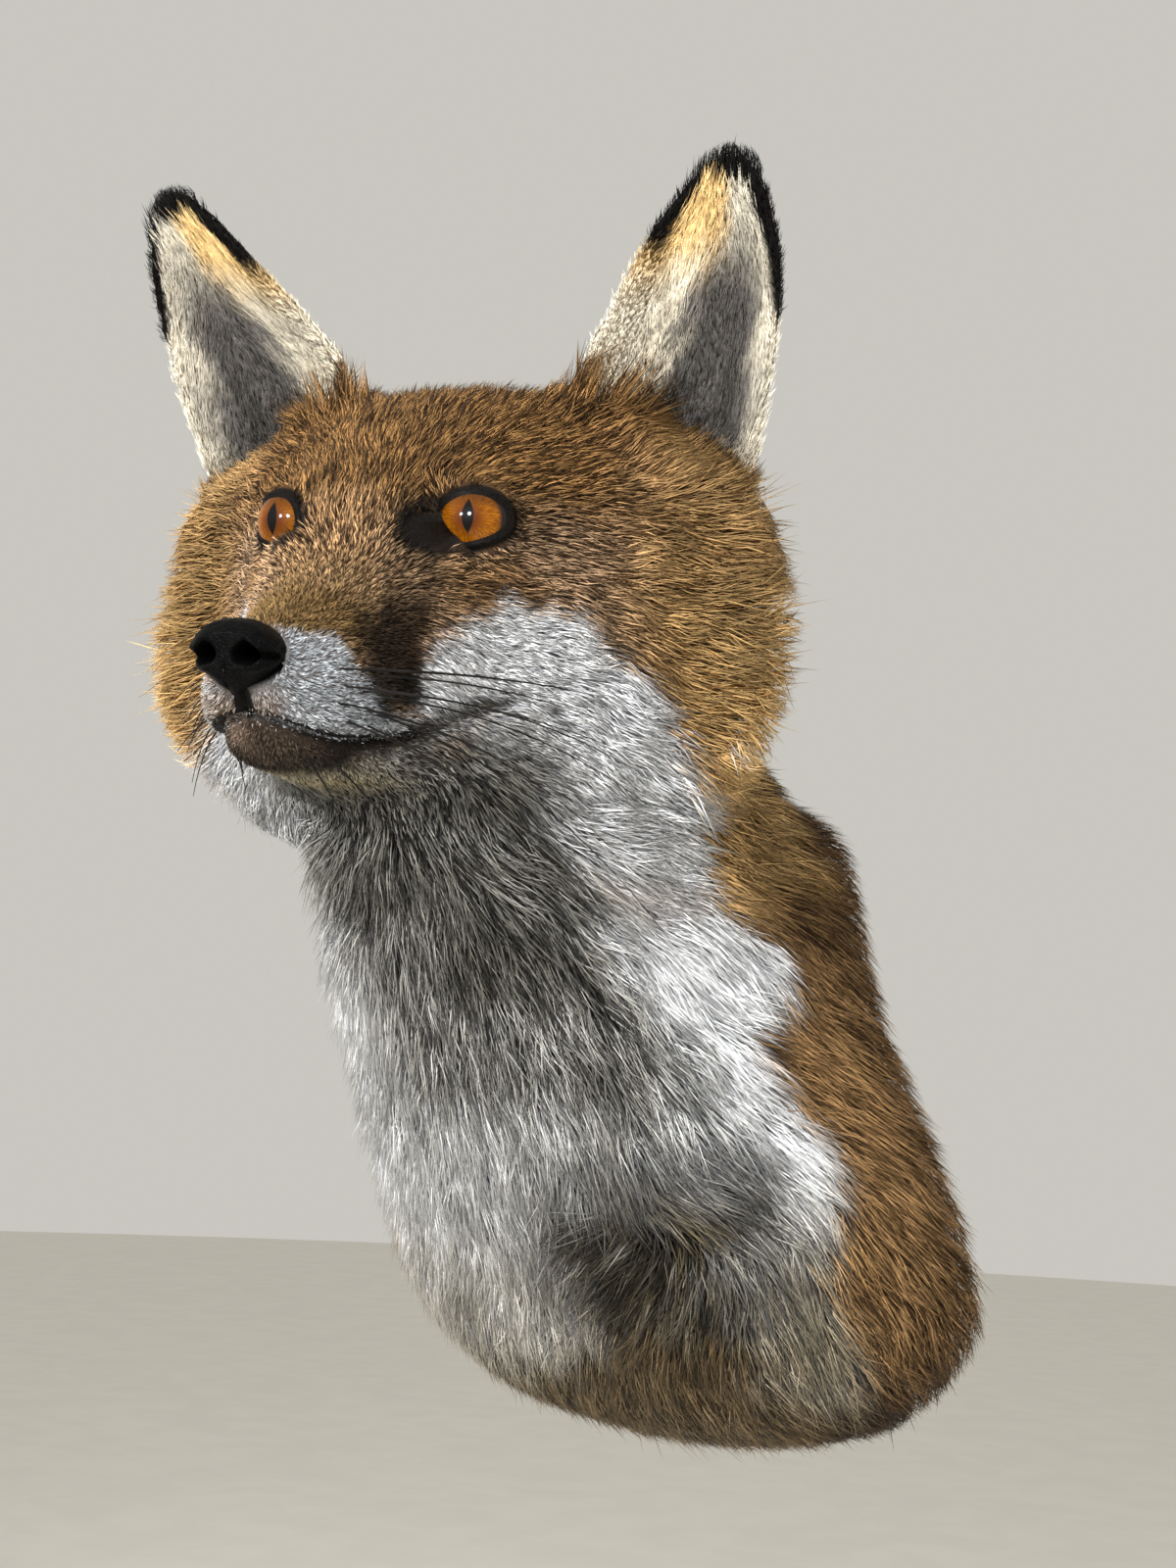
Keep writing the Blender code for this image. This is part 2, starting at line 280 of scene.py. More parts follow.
def cleanCopy(bm, name, grow=0.0):
    # a CAD node's mesh is loose triangles, so a copy is merged before it is used
    part = bmesh.new()
    part.from_mesh(nodes[name].data)
    bmesh.ops.remove_doubles(part, verts=part.verts, dist=1e-6)
    part.normal_update()
    moved = [vertex.co + vertex.normal * grow * mm for vertex in part.verts]
    for vertex, place in zip(part.verts, moved):
        vertex.co = place
    mesh = meshOf(part, name + "Copy")
    bm.from_mesh(mesh)
    bpy.data.meshes.remove(mesh)


# the eye sockets, with an almond opening in each
# half openings in degrees: to the ear and to the nose, of the left and the right eye, then up and down
eyeShape = {"back": (77, 80), "front": (84, 33), "above": 38, "below": 36, "openOut": 6, "slant": 13,
            "corner": 1.8, "lowCorner": 2.8}


def eyeMiddle(side):
    return boxMiddle("eye_left" if side > 0 else "eye_right")


def eyeInHead(side):
    return toHead(eyeMiddle(side)[None])[0]


def eyeWays(side, degrees):
    # straight out of the eye and to its outer corner, in the head's axes
    out = math.radians(degrees)
    return (np.array((side * math.sin(out), math.cos(out), 0)),
            np.array((side * math.cos(out), -math.sin(out), 0)))


def eyeAngles(headPoints, side):
    # the share of the way from the middle of the opening to the lid's edge, then the distance and the
    # direction from the middle of the eye
    gaze, across = eyeWays(side, eyeShape["openOut"])
    slant = math.radians(eyeShape["slant"])
    back = across * math.cos(slant) + np.array((0, 0, math.sin(slant)))
    up = np.array((0, 0, math.cos(slant))) - across * math.sin(slant)
    ray = headPoints - eyeInHead(side)
    reach = np.linalg.norm(ray, axis=1)
    x, y, z = ray @ back, ray @ up, ray @ gaze
    flat = np.maximum(np.hypot(x, y), 1e-6)
    angle = np.degrees(np.arctan2(flat, z))
    which = 0 if side > 0 else 1
    wide = np.abs(angle * x / flat) / np.where(x > 0, eyeShape["back"][which], eyeShape["front"][which])
    tall = np.abs(angle * y / flat) / np.where(y > 0, eyeShape["above"], eyeShape["below"])
    power = np.where(y > 0, eyeShape["corner"], eyeShape["lowCorner"])
    share = (wide ** power + tall ** power) ** (1 / power)
    return share, reach, ray / np.maximum(reach, 1e-6)[:, None]


def bothEyes(headPoints):
    return [eyeAngles(headPoints, side) for side in (1, -1)]


def roundEyes(headPoints, low, high):
    # 1 at the lids' edges, fading between two shares
    return np.max([fade(share, low, high) * (reach < eyeRadius + 6)
                   for share, reach, ray in bothEyes(headPoints)], axis=0)


def nearLine(headPoints, *names):
    # distance to the nearest of some lines of the face
    return np.min([pathDistance(headPoints, faceLines[name]) for name in names], axis=0)


mouthLine = np.array([(0, 62, -50.5), (7, 60, -52.5), (12, 55, -54), (17, 40, -55),
                      (22, 20, -53), (27, 4, -48), (31, -8, -43.5)], float)
earWay = unit(np.array((23.0, 24.0, 83.0)))
earOpen = np.array((0, 0.943, -0.331))
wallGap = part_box("chest")[1].y / mm

coatDepth = {"muzzle": 1.6, "face": 2.8, "crown": 6, "ruff": 13, "throat": 9, "neck": 11, "flank": 8,
             "ear": 0.3}


def depthField(points):
    # how far under the tips of the coat the skin lies
    head = bothSides(toHead(points))
    left, forward, up = head.T
    depth = blend(coatDepth["flank"], coatDepth["neck"], smooth(-points[:, 1], 30, 70))
    onHead = smooth(forward - up * 0.35, -92, -70) * smooth(up, -100, -84)
    headDepth = blend(coatDepth["face"], coatDepth["muzzle"], smooth(forward, 8, 26))
    headDepth = blend(headDepth, coatDepth["crown"], smooth(-forward, 18, 60) * smooth(up, 8, 30))
    ruff = smooth(left, 38, 76) * smooth(-up, -20, 12) * smooth(-forward, 12, 45)
    under = smooth(-up, 62, 76) * smooth(-forward, -25, 15)
    headDepth = blend(headDepth, coatDepth["ruff"], ruff)
    headDepth = blend(headDepth, coatDepth["throat"], under * (1 - ruff))
    depth = blend(depth, headDepth, onHead)
    return depth * (1 - 0.45 * smooth(-points[:, 2], 70, 98))


# how far each solid swells before they all become one skin, which then sinks in steps
skinGrows = {"head": 0.35, "lower_jaw": 0.35, "neck": 0.35, "chest": 0.35, "ear_left": 0.7, "ear_right": 0.7,
             "backboard": 0.9, "nose_pad": 0.3}
skinShape = {"grain": 1.5, "lastGrain": 1.65, "steps": 10}


def makeSkinForm():
    bm = bmesh.new()
    for name, grow in skinGrows.items():
        cleanCopy(bm, name, grow)
    for name in ("eye_left", "eye_right"):
        place = Matrix.Translation(Vector(boxMiddle(name)) * mm)
        bmesh.ops.create_icosphere(bm, subdivisions=4, radius=(eyeRadius + 2) * mm, matrix=place)
    return remesh(addObject("skin", meshOf(bm, "skin")), skinShape["grain"])


def earShare(points):
    # how deep inside an ear's CAD solid each point is
    trees = [searchTree([nodes[name].data]) for name in ("ear_left", "ear_right")]
    head = bothSides(toHead(points))
    share = np.zeros(len(points))
    for k in np.nonzero((head[:, 0] > 20) & (head[:, 2] > -18) & (head[:, 1] < -15) & (head[:, 1] > -100))[0]:
        spot = Vector(points[k] * mm)
        share[k] = -min(tree.find_nearest(spot)[3] for tree in trees) / mm
    share[share == 0] = -99
    return share


def sinkSkin(skin):
    # move the surface in from the coat's tips to its roots, in small steps
    steps = skinShape["steps"]
    for grain in (skinShape["grain"], skinShape["lastGrain"]):
        points = meshArrays(skin.data)[0]
        edges = edgesOf(skin.data)
        ears = smooth(earShare(points), -13, -1.5)
        depth = depthField(points) * (1 - ears) + coatDepth["ear"] * ears
        for _ in range(steps // 2):
            setPoints(skin.data, points)
            push = meshArrays(skin.data)[1] * (depth / steps)[:, None]
            push[:, 1] *= fade(points[:, 1], -16, -8)
            points = relax(points - push, edges, 0.35 * (1 - ears * 0.9), 1)
        points[:, 1] = np.minimum(points[:, 1], wallGap + 0.3)
        setPoints(skin.data, points)
        remesh(skin, grain)


def refine(skin, lines):
    # shorter edges round the eyes, lips and nose
    for _ in range(3):
        bm = bmesh.new()
        bm.from_mesh(skin.data)
        bmesh.ops.triangulate(bm, faces=bm.faces)
        bm.edges.ensure_lookup_table()
        ends = np.array([[*edge.verts[0].co, *edge.verts[1].co] for edge in bm.edges]) / mm
        length = np.linalg.norm(ends[:, :3] - ends[:, 3:], axis=1)
        head = toHead((ends[:, :3] + ends[:, 3:]) / 2)
        wanted = np.full(len(ends), 9.0)
        for share, reach, ray in bothEyes(head):
            near = reach < eyeRadius + 7
            wanted = np.where(near & (share < 2.3), 1.1, wanted)
            wanted = np.where(near & (share < 1.5) & (share > 0.75), 0.5, wanted)
        for line, spread, size in lines:
            wanted = np.minimum(wanted, np.where(pathDistance(head, line) < spread, size, 9.0))
        long = [bm.edges[k] for k in np.nonzero(length > wanted * 1.25)[0]]
        if long:
            bmesh.ops.subdivide_edges(bm, edges=long, cuts=1, use_grid_fill=True)
            bmesh.ops.triangulate(bm, faces=bm.faces)
        bm.to_mesh(skin.data)
        bm.free()
        points = meshArrays(skin.data)[0]
        head = toHead(points)
        near = np.zeros(len(points))
        for line, spread, size in lines:
            near = np.maximum(near, pathDistance(head, line) < spread * 1.5)
        for share, reach, ray in bothEyes(head):
            near = np.maximum(near, (reach < eyeRadius + 7) & (share < 2.5))
        setPoints(skin.data, relax(points, edgesOf(skin.data), 0.4 * near, 3))


def snapToSkin(skin, headPath):
    # put a line that is given roughly onto the surface itself
    tree = searchTree([skin.data])
    spots = [tree.find_nearest(Vector(point * mm))[0] for point in fromHead(headPath)]
    return toHead(np.array(spots) / mm)


def finer(path, count=4):
    # extra points between those of a line, so that it follows a round surface once it is snapped
    path = np.asarray(path, float)
    place = np.linspace(0, len(path) - 1, (len(path) - 1) * count + 1)
    return columns(*(np.interp(place, range(len(path)), path[:, k]) for k in range(3)))


def mirrorLine(path):
    return np.concatenate([path[::-1] * (-1, 1, 1), path[1:]])


faceShape = {"lipDepth": 1.6, "lipWidth": 0.9, "lowerLip": 0.9, "whiskerPad": 0.9, "brow": 1.3}
faceLines = {}


def drawFaceLines(skin):
    mouth = snapToSkin(skin, finer(mouthLine))
    faceLines["mouth"] = mirrorLine(mouth)
    faceLines["philtrum"] = snapToSkin(skin, finer([(0, 67, -44), (0, 64.5, -47.5), (0, 62, -50.5)]))
    for side, name in ((1, "Left"), (-1, "Right")):
        corner = np.array([(side * 18.2, 12, -4.4), (side * 16, 10, -3.2), (side * 15, 4, -2.4)])
        faceLines["tear" + name] = snapToSkin(skin, finer(corner))


def lipHeight(forward):
    half = faceLines["mouth"][faceLines["mouth"][:, 0] >= 0]
    half = half[np.argsort(half[:, 1])]
    return np.interp(forward, half[:, 1], half[:, 2])


def sculptLids(points):
    head = toHead(points)
    for side in (1, -1):
        share, reach, ray = eyeAngles(head, side)
        edge = [0.0, 0.88, 0.97, 1.04, 1.14, 1.35, 1.7, 2.3]
        lift = [-1.8, -1.7, 0.0, 0.3, 0.6, 0.85, 1.0, 1.0]
        wanted = eyeRadius + np.interp(share, edge, lift)
        near = reach < eyeRadius + 9
        weight = fade(share, 1.15, 2.0) * near
        reach = reach + (wanted - reach) * weight
        cover = eyeRadius + 1.0 * smooth(share, 1.0, 1.14)
        reach = np.where(near & (share > 1.14), np.maximum(reach, cover), reach)
        head = eyeInHead(side) + ray * reach[:, None]
    return fromHead(head)


def sculptFace(skin):
    points, normals = meshArrays(skin.data)
    edges = edgesOf(skin.data)
    head = toHead(points)
    folded = bothSides(head)
    shift = np.zeros(len(points))
    mouthFar = pathDistance(head, faceLines["mouth"])
    below = head[:, 2] < lipHeight(head[:, 1])
    shift -= faceShape["lipDepth"] * np.exp(-(mouthFar / faceShape["lipWidth"]) ** 2)
    shift -= faceShape["lowerLip"] * below * fade(mouthFar, 1.0, 5.0)
    shift += 0.5 * (~below) * fade(mouthFar, 0.5, 3.5) * smooth(mouthFar, 0, 1.2)
    shift -= 1.1 * np.exp(-(pathDistance(head, faceLines["philtrum"]) / 0.7) ** 2)
    shift += faceShape["whiskerPad"] * ball(folded, (14, 42, -43), (8, 14, 9))
    shift += faceShape["brow"] * ball(folded, (27, -3, 12), (11, 9, 5))
    points = points + normals * shift[:, None]
    behindNose = ball(folded, (4, 69, -37), (8, 9, 6), 0.3)
    points = points - headAxes[:, 1] * (8.0 * behindNose)[:, None]
    points = sculptLids(points)
    near = np.max([(share > 1.2) * (share < 2.6) * (reach < eyeRadius + 8)
                   for share, reach, ray in bothEyes(toHead(points))], axis=0)
    points = sculptLids(relax(points, edges, 0.5 * near, 3))
    points = relax(points, edges, 0.35 * (mouthFar < 3), 2)
    head = toHead(points)
    tear = nearLine(head, "tearLeft", "tearRight")
    share = np.where(head[:, 0] > 0, eyeAngles(head, 1)[0], eyeAngles(head, -1)[0])
    points = points - normals * (0.9 * np.exp(-(tear / 1.1) ** 2) * smooth(share, 0.98, 1.15))[:, None]
    setPoints(skin.data, points)
    skin.data.shade_smooth()


def smoothEars(skin):
    points = meshArrays(skin.data)[0]
    edges = edgesOf(skin.data)
    share = smooth(earShare(points), -6, -1)
    for _ in range(6):
        points = relax(points, edges, 0.6 * share + 0.15, 2)
        points = relax(points, edges, -0.55 * share, 1)
    setPoints(skin.data, points)


skin = makeSkinForm()
sinkSkin(skin)
smoothEars(skin)
drawFaceLines(skin)
refine(skin, [(faceLines["mouth"], 2.4, 0.5), (faceLines["philtrum"], 2.2, 0.5),
              (faceLines["tearLeft"], 3, 0.6), (faceLines["tearRight"], 3, 0.6)])
sculptFace(skin)
print("skin", len(skin.data.polygons), "triangles")


# the nose, cut finer than the CAD's, with slits behind the nostrils and a groove down the middle
noseShape = {"grain": 0.45, "wide": 0.86, "slitDepth": 0.6, "slitWidth": 0.7, "groove": 0.8, "wing": 0.5}


def makeNose():
    bm = bmesh.new()
    cleanCopy(bm, "nose_pad")
    nose = remesh(addObject("nose", meshOf(bm, "nose")), noseShape["grain"])
    points = meshArrays(nose.data)[0]
    edges = edgesOf(nose.data)
    for _ in range(5):
        points = relax(points, edges, 0.55, 3)
        points = relax(points, edges, -0.4, 2)
    setPoints(nose.data, points)
    normals = meshArrays(nose.data)[1]
    head = toHead(points)
    taper = np.interp(head[:, 2], [-47, -44.5, -42, -39, -35, -31], [0.3, 0.45, 0.72, 0.98, 1.0, 0.9])
    points = points + headAxes[:, 0] * (head[:, 0] * (taper * noseShape["wide"] - 1))[:, None]
    folded = bothSides(toHead(points))
    slit = np.array([(6.2, 69.5, -38.4), (8.2, 68, -38.6), (9.8, 65, -37.4), (10.4, 62, -35.4)])
    shift = -noseShape["slitDepth"] * np.exp(-(pathDistance(folded, slit) / noseShape["slitWidth"]) ** 2)
    shift += noseShape["wing"] * np.exp(-((pathDistance(folded, slit) - 2.2) / 1.0) ** 2)
    middle = np.array([(0, 71, -33), (0, 70.5, -38), (0, 67, -45)], float)
    shift -= noseShape["groove"] * np.exp(-(pathDistance(head, middle) / 0.6) ** 2)
    hole = np.maximum(ball(folded, (4.6, 68.5, -36.9), (2.4, 4.5, 2.0), 0.3),
                      0.35 * ball(folded, (8.0, 66.5, -36.9), (3.0, 4.0, 1.0), 0.35))
    points = points + normals * shift[:, None]
    points = points - headAxes[:, 1] * (5.5 * hole)[:, None]
    setPoints(nose.data, relax(points, edges, 0.3, 1))
    # where the nostrils are pushed in, for the painted shade inside them
    hollow = nose.data.attributes.new("hollow", "FLOAT", "POINT")
    hollow.data.foreach_set("value", np.clip(hole * 2.8, 0, 1).astype(np.float32))
    nose.data.shade_smooth()
    return nose


# the glass eyes: a ball that bulges a little at the cornea
eyeGlass = {"cornea": 0.3}


def makeEye(name, side):
    bm = bmesh.new()
    bmesh.ops.create_uvsphere(bm, u_segments=96, v_segments=64, radius=eyeRadius)
    mesh = meshOf(bm, name)
    gaze, across = (headAxes @ way for way in eyeWays(side, headPose["gazeOut"]))
    local = np.array([vertex.co for vertex in mesh.vertices])
    bulge = 1 + eyeGlass["cornea"] / eyeRadius * smooth(local[:, 2] / eyeRadius, 0.45, 0.95)
    local = local * bulge[:, None]
    setPoints(mesh, eyeMiddle(side) + local @ np.array((across, headAxes[:, 2], gaze)))
    # x and y of the eye's own face in radii, for the iris
    spot = mesh.attributes.new("eyeFace", "FLOAT_VECTOR", "POINT")
    spot.data.foreach_set("vector", (local / eyeRadius).astype(np.float32).ravel())
    editMesh(mesh, bmesh.ops.recalc_face_normals)
    mesh.shade_smooth()
    return addObject(name, mesh)


nose = makeNose()
eyes = [makeEye("glassEyeLeft", 1), makeEye("glassEyeRight", -1)]
print("nose and eyes")


# colours of the coat: the hair's tip and its root
def paint(red, green, blue):
    part = np.array((red, green, blue)) / 255
    return np.where(part < 0.04045, part / 12.92, ((part + 0.055) / 1.055) ** 2.4)


class Layers:
    # colours of the hairs' tips and roots, and how many odd dark hairs there are, laid over each other
    def __init__(self, count):
        self.tip = np.zeros((count, 3))
        self.root = np.zeros((count, 3))
        self.mixed = np.full(count, 0.25)

    def lay(self, name, mask, mixed=None):
        tip, root = (paint(*colour) for colour in coatColours[name])
        self.tip = blend(self.tip, tip, mask[:, None])
        self.root = blend(self.root, root, mask[:, None])
        if mixed is not None:
            self.mixed = blend(self.mixed, mixed, mask)


coatColours = {
    "brow": ((178, 134, 82), (26, 15, 8)),
    "face": ((220, 182, 143), (36, 22, 12)),
    "rust": ((192, 156, 104), (70, 45, 21)),
    "gold": ((208, 174, 118), (118, 84, 41)),
    "muzzle": ((140, 112, 70), (62, 45, 26)),
    "tear": ((40, 26, 14), (13, 8, 5)),
    "white": ((250, 250, 251), (150, 152, 156)),
    "lipWhite": ((199, 206, 213), (112, 108, 106)),
    # dark marks of the coat, also used as painted shade deep in the ears
    "darkMarkAndShade": ((30, 25, 21), (11, 9, 8)),
    "grey": ((222, 220, 215), (26, 25, 25)),
    # dark: darker grizzled hairs, also used as painted shade on the throat under the jaw
    "dark": ((108, 104, 94), (12, 11, 10)),
    "swirl": ((98, 88, 66), (11, 10, 7)),
    "olive": ((206, 190, 150), (36, 32, 23)),
    "hem": ((124, 101, 66), (24, 17, 10)),
    "flank": ((178, 140, 94), (38, 25, 13)),
    # edge: dark brown for dark edges of the coat, also used as painted shade under and behind the cheek ruff
    # and on the left ruff
    "edge": ((64, 44, 26), (20, 13, 7)),
    "black": ((14, 13, 12), (6, 5, 5)),
    "earGold": ((238, 206, 146), (164, 128, 76)),
    "earGrey": ((98, 95, 94), (40, 38, 39)),
    "earCream": ((236, 228, 208), (190, 180, 160)),
    "chin": ((104, 88, 74), (40, 32, 26)),
    "beige": ((178, 158, 140), (112, 92, 78)),
    "strip": ((160, 147, 128), (74, 62, 50)),
}
# across the body from the board: where the white band begins and where the brown flank does, by height
bandEdge = [(-65, -30), (-42, -50), (-18, -63), (6, -79), (29, -98), (53, -112), (75, -122)]
flankEdge = [(-80, -10), (-59, -33), (-42, -46), (-17, -46), (2, -58), (14, -60), (20, -52), (30, -43),
             (39, -46), (50, -70), (60, -80), (75, -100)]


def beyond(points, edge):
    # how far in front of the wall side of an edge a point lies
    height, reach = np.array(edge, float).T
    return points[:, 1] - np.interp(points[:, 2], height, reach)


# patches of the head in side view: forward and up, in millimetres
cheekOutline = [(12, -50), (22, -45.5), (18, -41), (14, -34), (3, -26), (-10, -20), (-22, -20), (-28, -26),
                (-38, -33), (-46, -38), (-54, -50), (-61, -60), (-70, -76), (-74, -98), (-40, -98),
                (-28, -80), (-16, -70), (-8, -58), (0, -52)]
lipOutline = [(66, -46), (62, -34), (56, -32), (50, -31), (42, -31), (37, -36), (33, -42), (27, -47),
              (12, -50), (-4, -46), (-6, -50), (5, -53), (20, -58), (40, -60), (66, -60)]
tearOutline = [(13, -3), (19, -8), (27, -17), (34, -25), (37, -31), (32, -37), (28, -43), (20, -47),
               (13, -44), (16, -36), (15, -28), (11, -20), (9, -10)]
# bare black skin in the inner corner of the left eye
cornerBalls = [((17.5, 5.5, 0), (6.3, 8, 8.5)), ((20, 7, -7), (5.5, 7, 5))]


def patch(folded, outline, soft=2.0):
    # 1 inside an outline seen from the side, fading over its edge
    flat = folded[:, 1:]
    best = np.full(len(flat), 1e9)
    inside = np.zeros(len(flat), bool)
    ring = np.array(outline, float)
    for start, end in zip(ring, np.roll(ring, -1, axis=0)):
        way = end - start
        t = np.clip(((flat - start) @ way) / (way @ way), 0, 1)
        best = np.minimum(best, np.linalg.norm(flat - start - t[:, None] * way, axis=1))
        spans = (flat[:, 1] > start[1]) != (flat[:, 1] > end[1])
        cross = start[0] + (flat[:, 1] - start[1]) * way[0] / (way[1] if way[1] else 1e-9)
        inside ^= spans & (flat[:, 0] < cross)
    return smooth(np.where(inside, best, -best), -soft, soft)


def markings(points, ears):
    # tip and root colours at points of the coat, with painted shade under the ruff, under the jaw and on the
    # left ruff among them, and how strongly dark and pale hairs are mixed there
    row = points + noiseVectors(points, 9, 11) * 2.6 + noiseVectors(points, 3.5, 21) * 1.2
    head, still = toHead(row), toHead(points)
    fold, exact = bothSides(head), bothSides(still)
    left, forward, up = fold.T
    x, y, height = row.T
    layers = Layers(len(points))
    lay = layers.lay
    # the body: grizzled chest, a pale band, brown flanks, with painted shade on the throat and under the ruff
    lay("grey", np.ones(len(points)), 0.8)
    clouds = softNoise(points, 15, 31) + 0.5 * softNoise(points, 7, 33)
    low = -height
    lay("dark", smooth(clouds + 0.9 * smooth(-low, 0, 45), 0.3, 1.1) * 0.75)
    pale = np.maximum(smooth(-x, -4, 26), 0.8 * smooth(low, -8, 14))
    pale = pale * (1 - 0.6 * ball(row, (46, -100, 2), (16, 30, 26), 0.7))
    lay("white", pale * (1 - 0.4 * smooth(clouds, 0.1, 0.6)) * fade(low, 60, 80), 0.45)
    lay("white", smooth(beyond(row, bandEdge), -8, 8) * fade(low, 58, 76), 0.25)
    # painted shade: the throat darker under the jaw
    lay("dark", ball(row, (34, -140, 40), (34, 34, 22)) * 0.5)
    lay("olive", smooth(low, 26, 56) * 0.4, 0.6)
    lay("olive", ball(row, (78, -44, -58), (20, 26, 30)) * 0.6, 0.5)
    nearFlank = smooth(beyond(row, flankEdge), -18, -7)
    swirl = ball(row, (48, -66, -48), (44, 42, 34), 0.4) * (1 - 0.6 * nearFlank)
    swirl = swirl * (1 - 0.7 * smooth(beyond(row, bandEdge), 6, 16) * smooth(height, -50, -30))
    lay("swirl", swirl * (0.85 + 0.15 * smooth(clouds, -0.3, 0.3)), 0.9)
    lay("darkMarkAndShade", swirl * smooth(softNoise(points, 8, 35), -0.1, 0.35) * 0.72)
    hemFrom = np.interp(x, [-30, -5, 15], [74, 63, 53])
    lay("hem", smooth(low - hemFrom, 0, 10) * 0.92 * (1 - 0.6 * nearFlank * fade(low, 66, 80)), 0.7)
    flank = np.maximum(smooth(beyond(row, flankEdge), -3, 4), smooth(height, 96, 112))
    flank = np.maximum(flank, smooth(height, 60, 76) * smooth(-x, -26, -6) * smooth(y, -100, -84))
    lay("flank", flank, 0.8)
    lay("gold", ball(row, (60, -64, 56), (14, 17, 15), 0.5) * flank * 0.9, 0.25)
    lay("edge", smooth(y, -30, -8) * flank * 0.6)
    lay("edge", smooth(height, 50, 76) * smooth(y, -82, -50) * 0.75)
    lay("edge", ball(row, (80, -8, -84), (24, 16, 14), 0.4) * 0.85)
    # painted shade: darker brown on the top of the flank behind and under the cheek ruff, where its shadow
    # falls
    lay("edge", ball(row, (66, -36, 58), (26, 28, 26)) * 0.6 * flank)
    lay("edge", ball(row, (60, -38, 68), (22, 22, 15), 0.5) * 0.6 * flank)
    lay("edge", ball(row, (57, -66, 76), (14, 18, 9), 0.5) * 0.8)
    # the head
    underHead = smooth(-up, 56, 64) * fade(left, 44, 60) * smooth(forward, -60, -40)
    onHead = smooth(forward - up * 0.35, -92, -78) * smooth(up, -102, -88) * (1 - underHead)
    lay("rust", onHead, 0.3)
    lay("face", onHead * fade(left, 44, 68) * smooth(forward, -64, -34) * smooth(up, -60, -50), 0.9)
    lay("brow", onHead * smooth(up, -6, 10) * fade(left, 44, 68), 1.0)
    lay("brow", ball(fold, (32, -2, -17), (15, 17, 8)) * 0.75, 1.0)
    lay("brow", ball(head, (-2, 14, -6), (16, 22, 13)) * 0.6, 0.9)
    lay("gold", onHead * smooth(left, 60, 82) * smooth(-up, 2, 30) * 0.75)
    lay("edge", onHead * smooth(-forward, 50, 72) * smooth(up, -52, -26) * 0.35)
    # painted shade: the lower ruff darker on the left side only, the side away from the key light
    lay("edge", onHead * smooth(head[:, 0], 58, 78) * smooth(up, -42, -30) * 0.25)
    farSide = smooth(-head[:, 0], 3, 8)
    lay("muzzle", smooth(forward, 14, 36) * smooth(up, -40, -30) * fade(left, 12, 20), 0.6)
    tears = patch(fold, tearOutline, 3.0) * smooth(left, 9, 15) * (1 - 0.75 * farSide)
    lay("tear", tears * (0.55 + 0.4 * smooth(-up, 14, 26)), 0.3)
    lay("darkMarkAndShade", ball(head, (17, 27, -31), (8, 8, 8)) * 0.45)
    lay("tear", stripe(fold, [(14, 4, 4), (13, -14, 16)], 4, 0.7) * 0.4)
    lay("tear", stripe(fold, [(35, -11, 1), (48, -24, -2), (58, -34, -6)], 6, 0.7) * 0.5)
    lay("edge", stripe(fold, [(62, -46, 8), (70, -52, 0)], 6, 0.7) * 0.5)
    # white of the lips, cheeks and ruff
    lips = patch(fold, lipOutline, 1.6) * smooth(forward, -8, 2)
    lay("lipWhite", lips * (1 - farSide * smooth(up, -44, -38)), 0.35)
    lay("chin", smooth(forward, 57, 61) * smooth(-up, 44, 48) * 0.35)
    cheek = patch(fold, cheekOutline, 3.0) * smooth(left, 17, 23)
    cheek = cheek * (1 - smooth(forward, 0, 8) * (head[:, 0] < 0))
    lay("white", cheek * smooth(up, -100, -88), 0.4)
    lay("grey", cheek * ball(fold, (58, -42, -72), (24, 24, 16)) * 0.35, 0.6)
    lay("darkMarkAndShade", stripe(fold, [(19, 32, -39), (18, 30, -43), (22, 22, -42)], 4.6) * 0.92, 0.15)
    lay("dark", ball(fold, (58, -34, -28), (8, 7, 5)) * 0.6)
    lay("darkMarkAndShade", stripe(fold, [(42, -19, -45), (45, -26, -50)], 2.2) * 0.8)
    lay("darkMarkAndShade", cheek * smooth(softNoise(points, 5, 41), 0.35, 0.7) * 0.4 * smooth(-forward, 20, 40))
    dots = np.linalg.norm(nearestSeed(points, 3.0, 5)[0] - points, axis=1)
    lay("darkMarkAndShade", patch(fold, lipOutline, 1.0) * fade(dots, 0.5, 1.0) * smooth(forward, 22, 30) * 0.6)
    throat = smooth(-up, 56, 64) * fade(left, 30, 44) * smooth(up, -104, -90)
    throat = throat * fade(forward, 40, 50) * smooth(forward, -88, -66)
    lay("grey", throat, 0.85)
    lay("olive", throat * smooth(forward, -10, 20) * fade(left, 14, 26) * 0.95, 0.35)
    # painted shade: the throat and the sides of the neck darker under the jaw
    lay("dark", throat * smooth(forward, -40, -10) * fade(forward, 5, 20) * 0.5)
    lay("dark", ball(fold, (36, -12, -63), (18, 22, 12)) * 0.85)
    lay("dark", ball(row, (34, -142, 52), (28, 28, 22)) * 0.45)
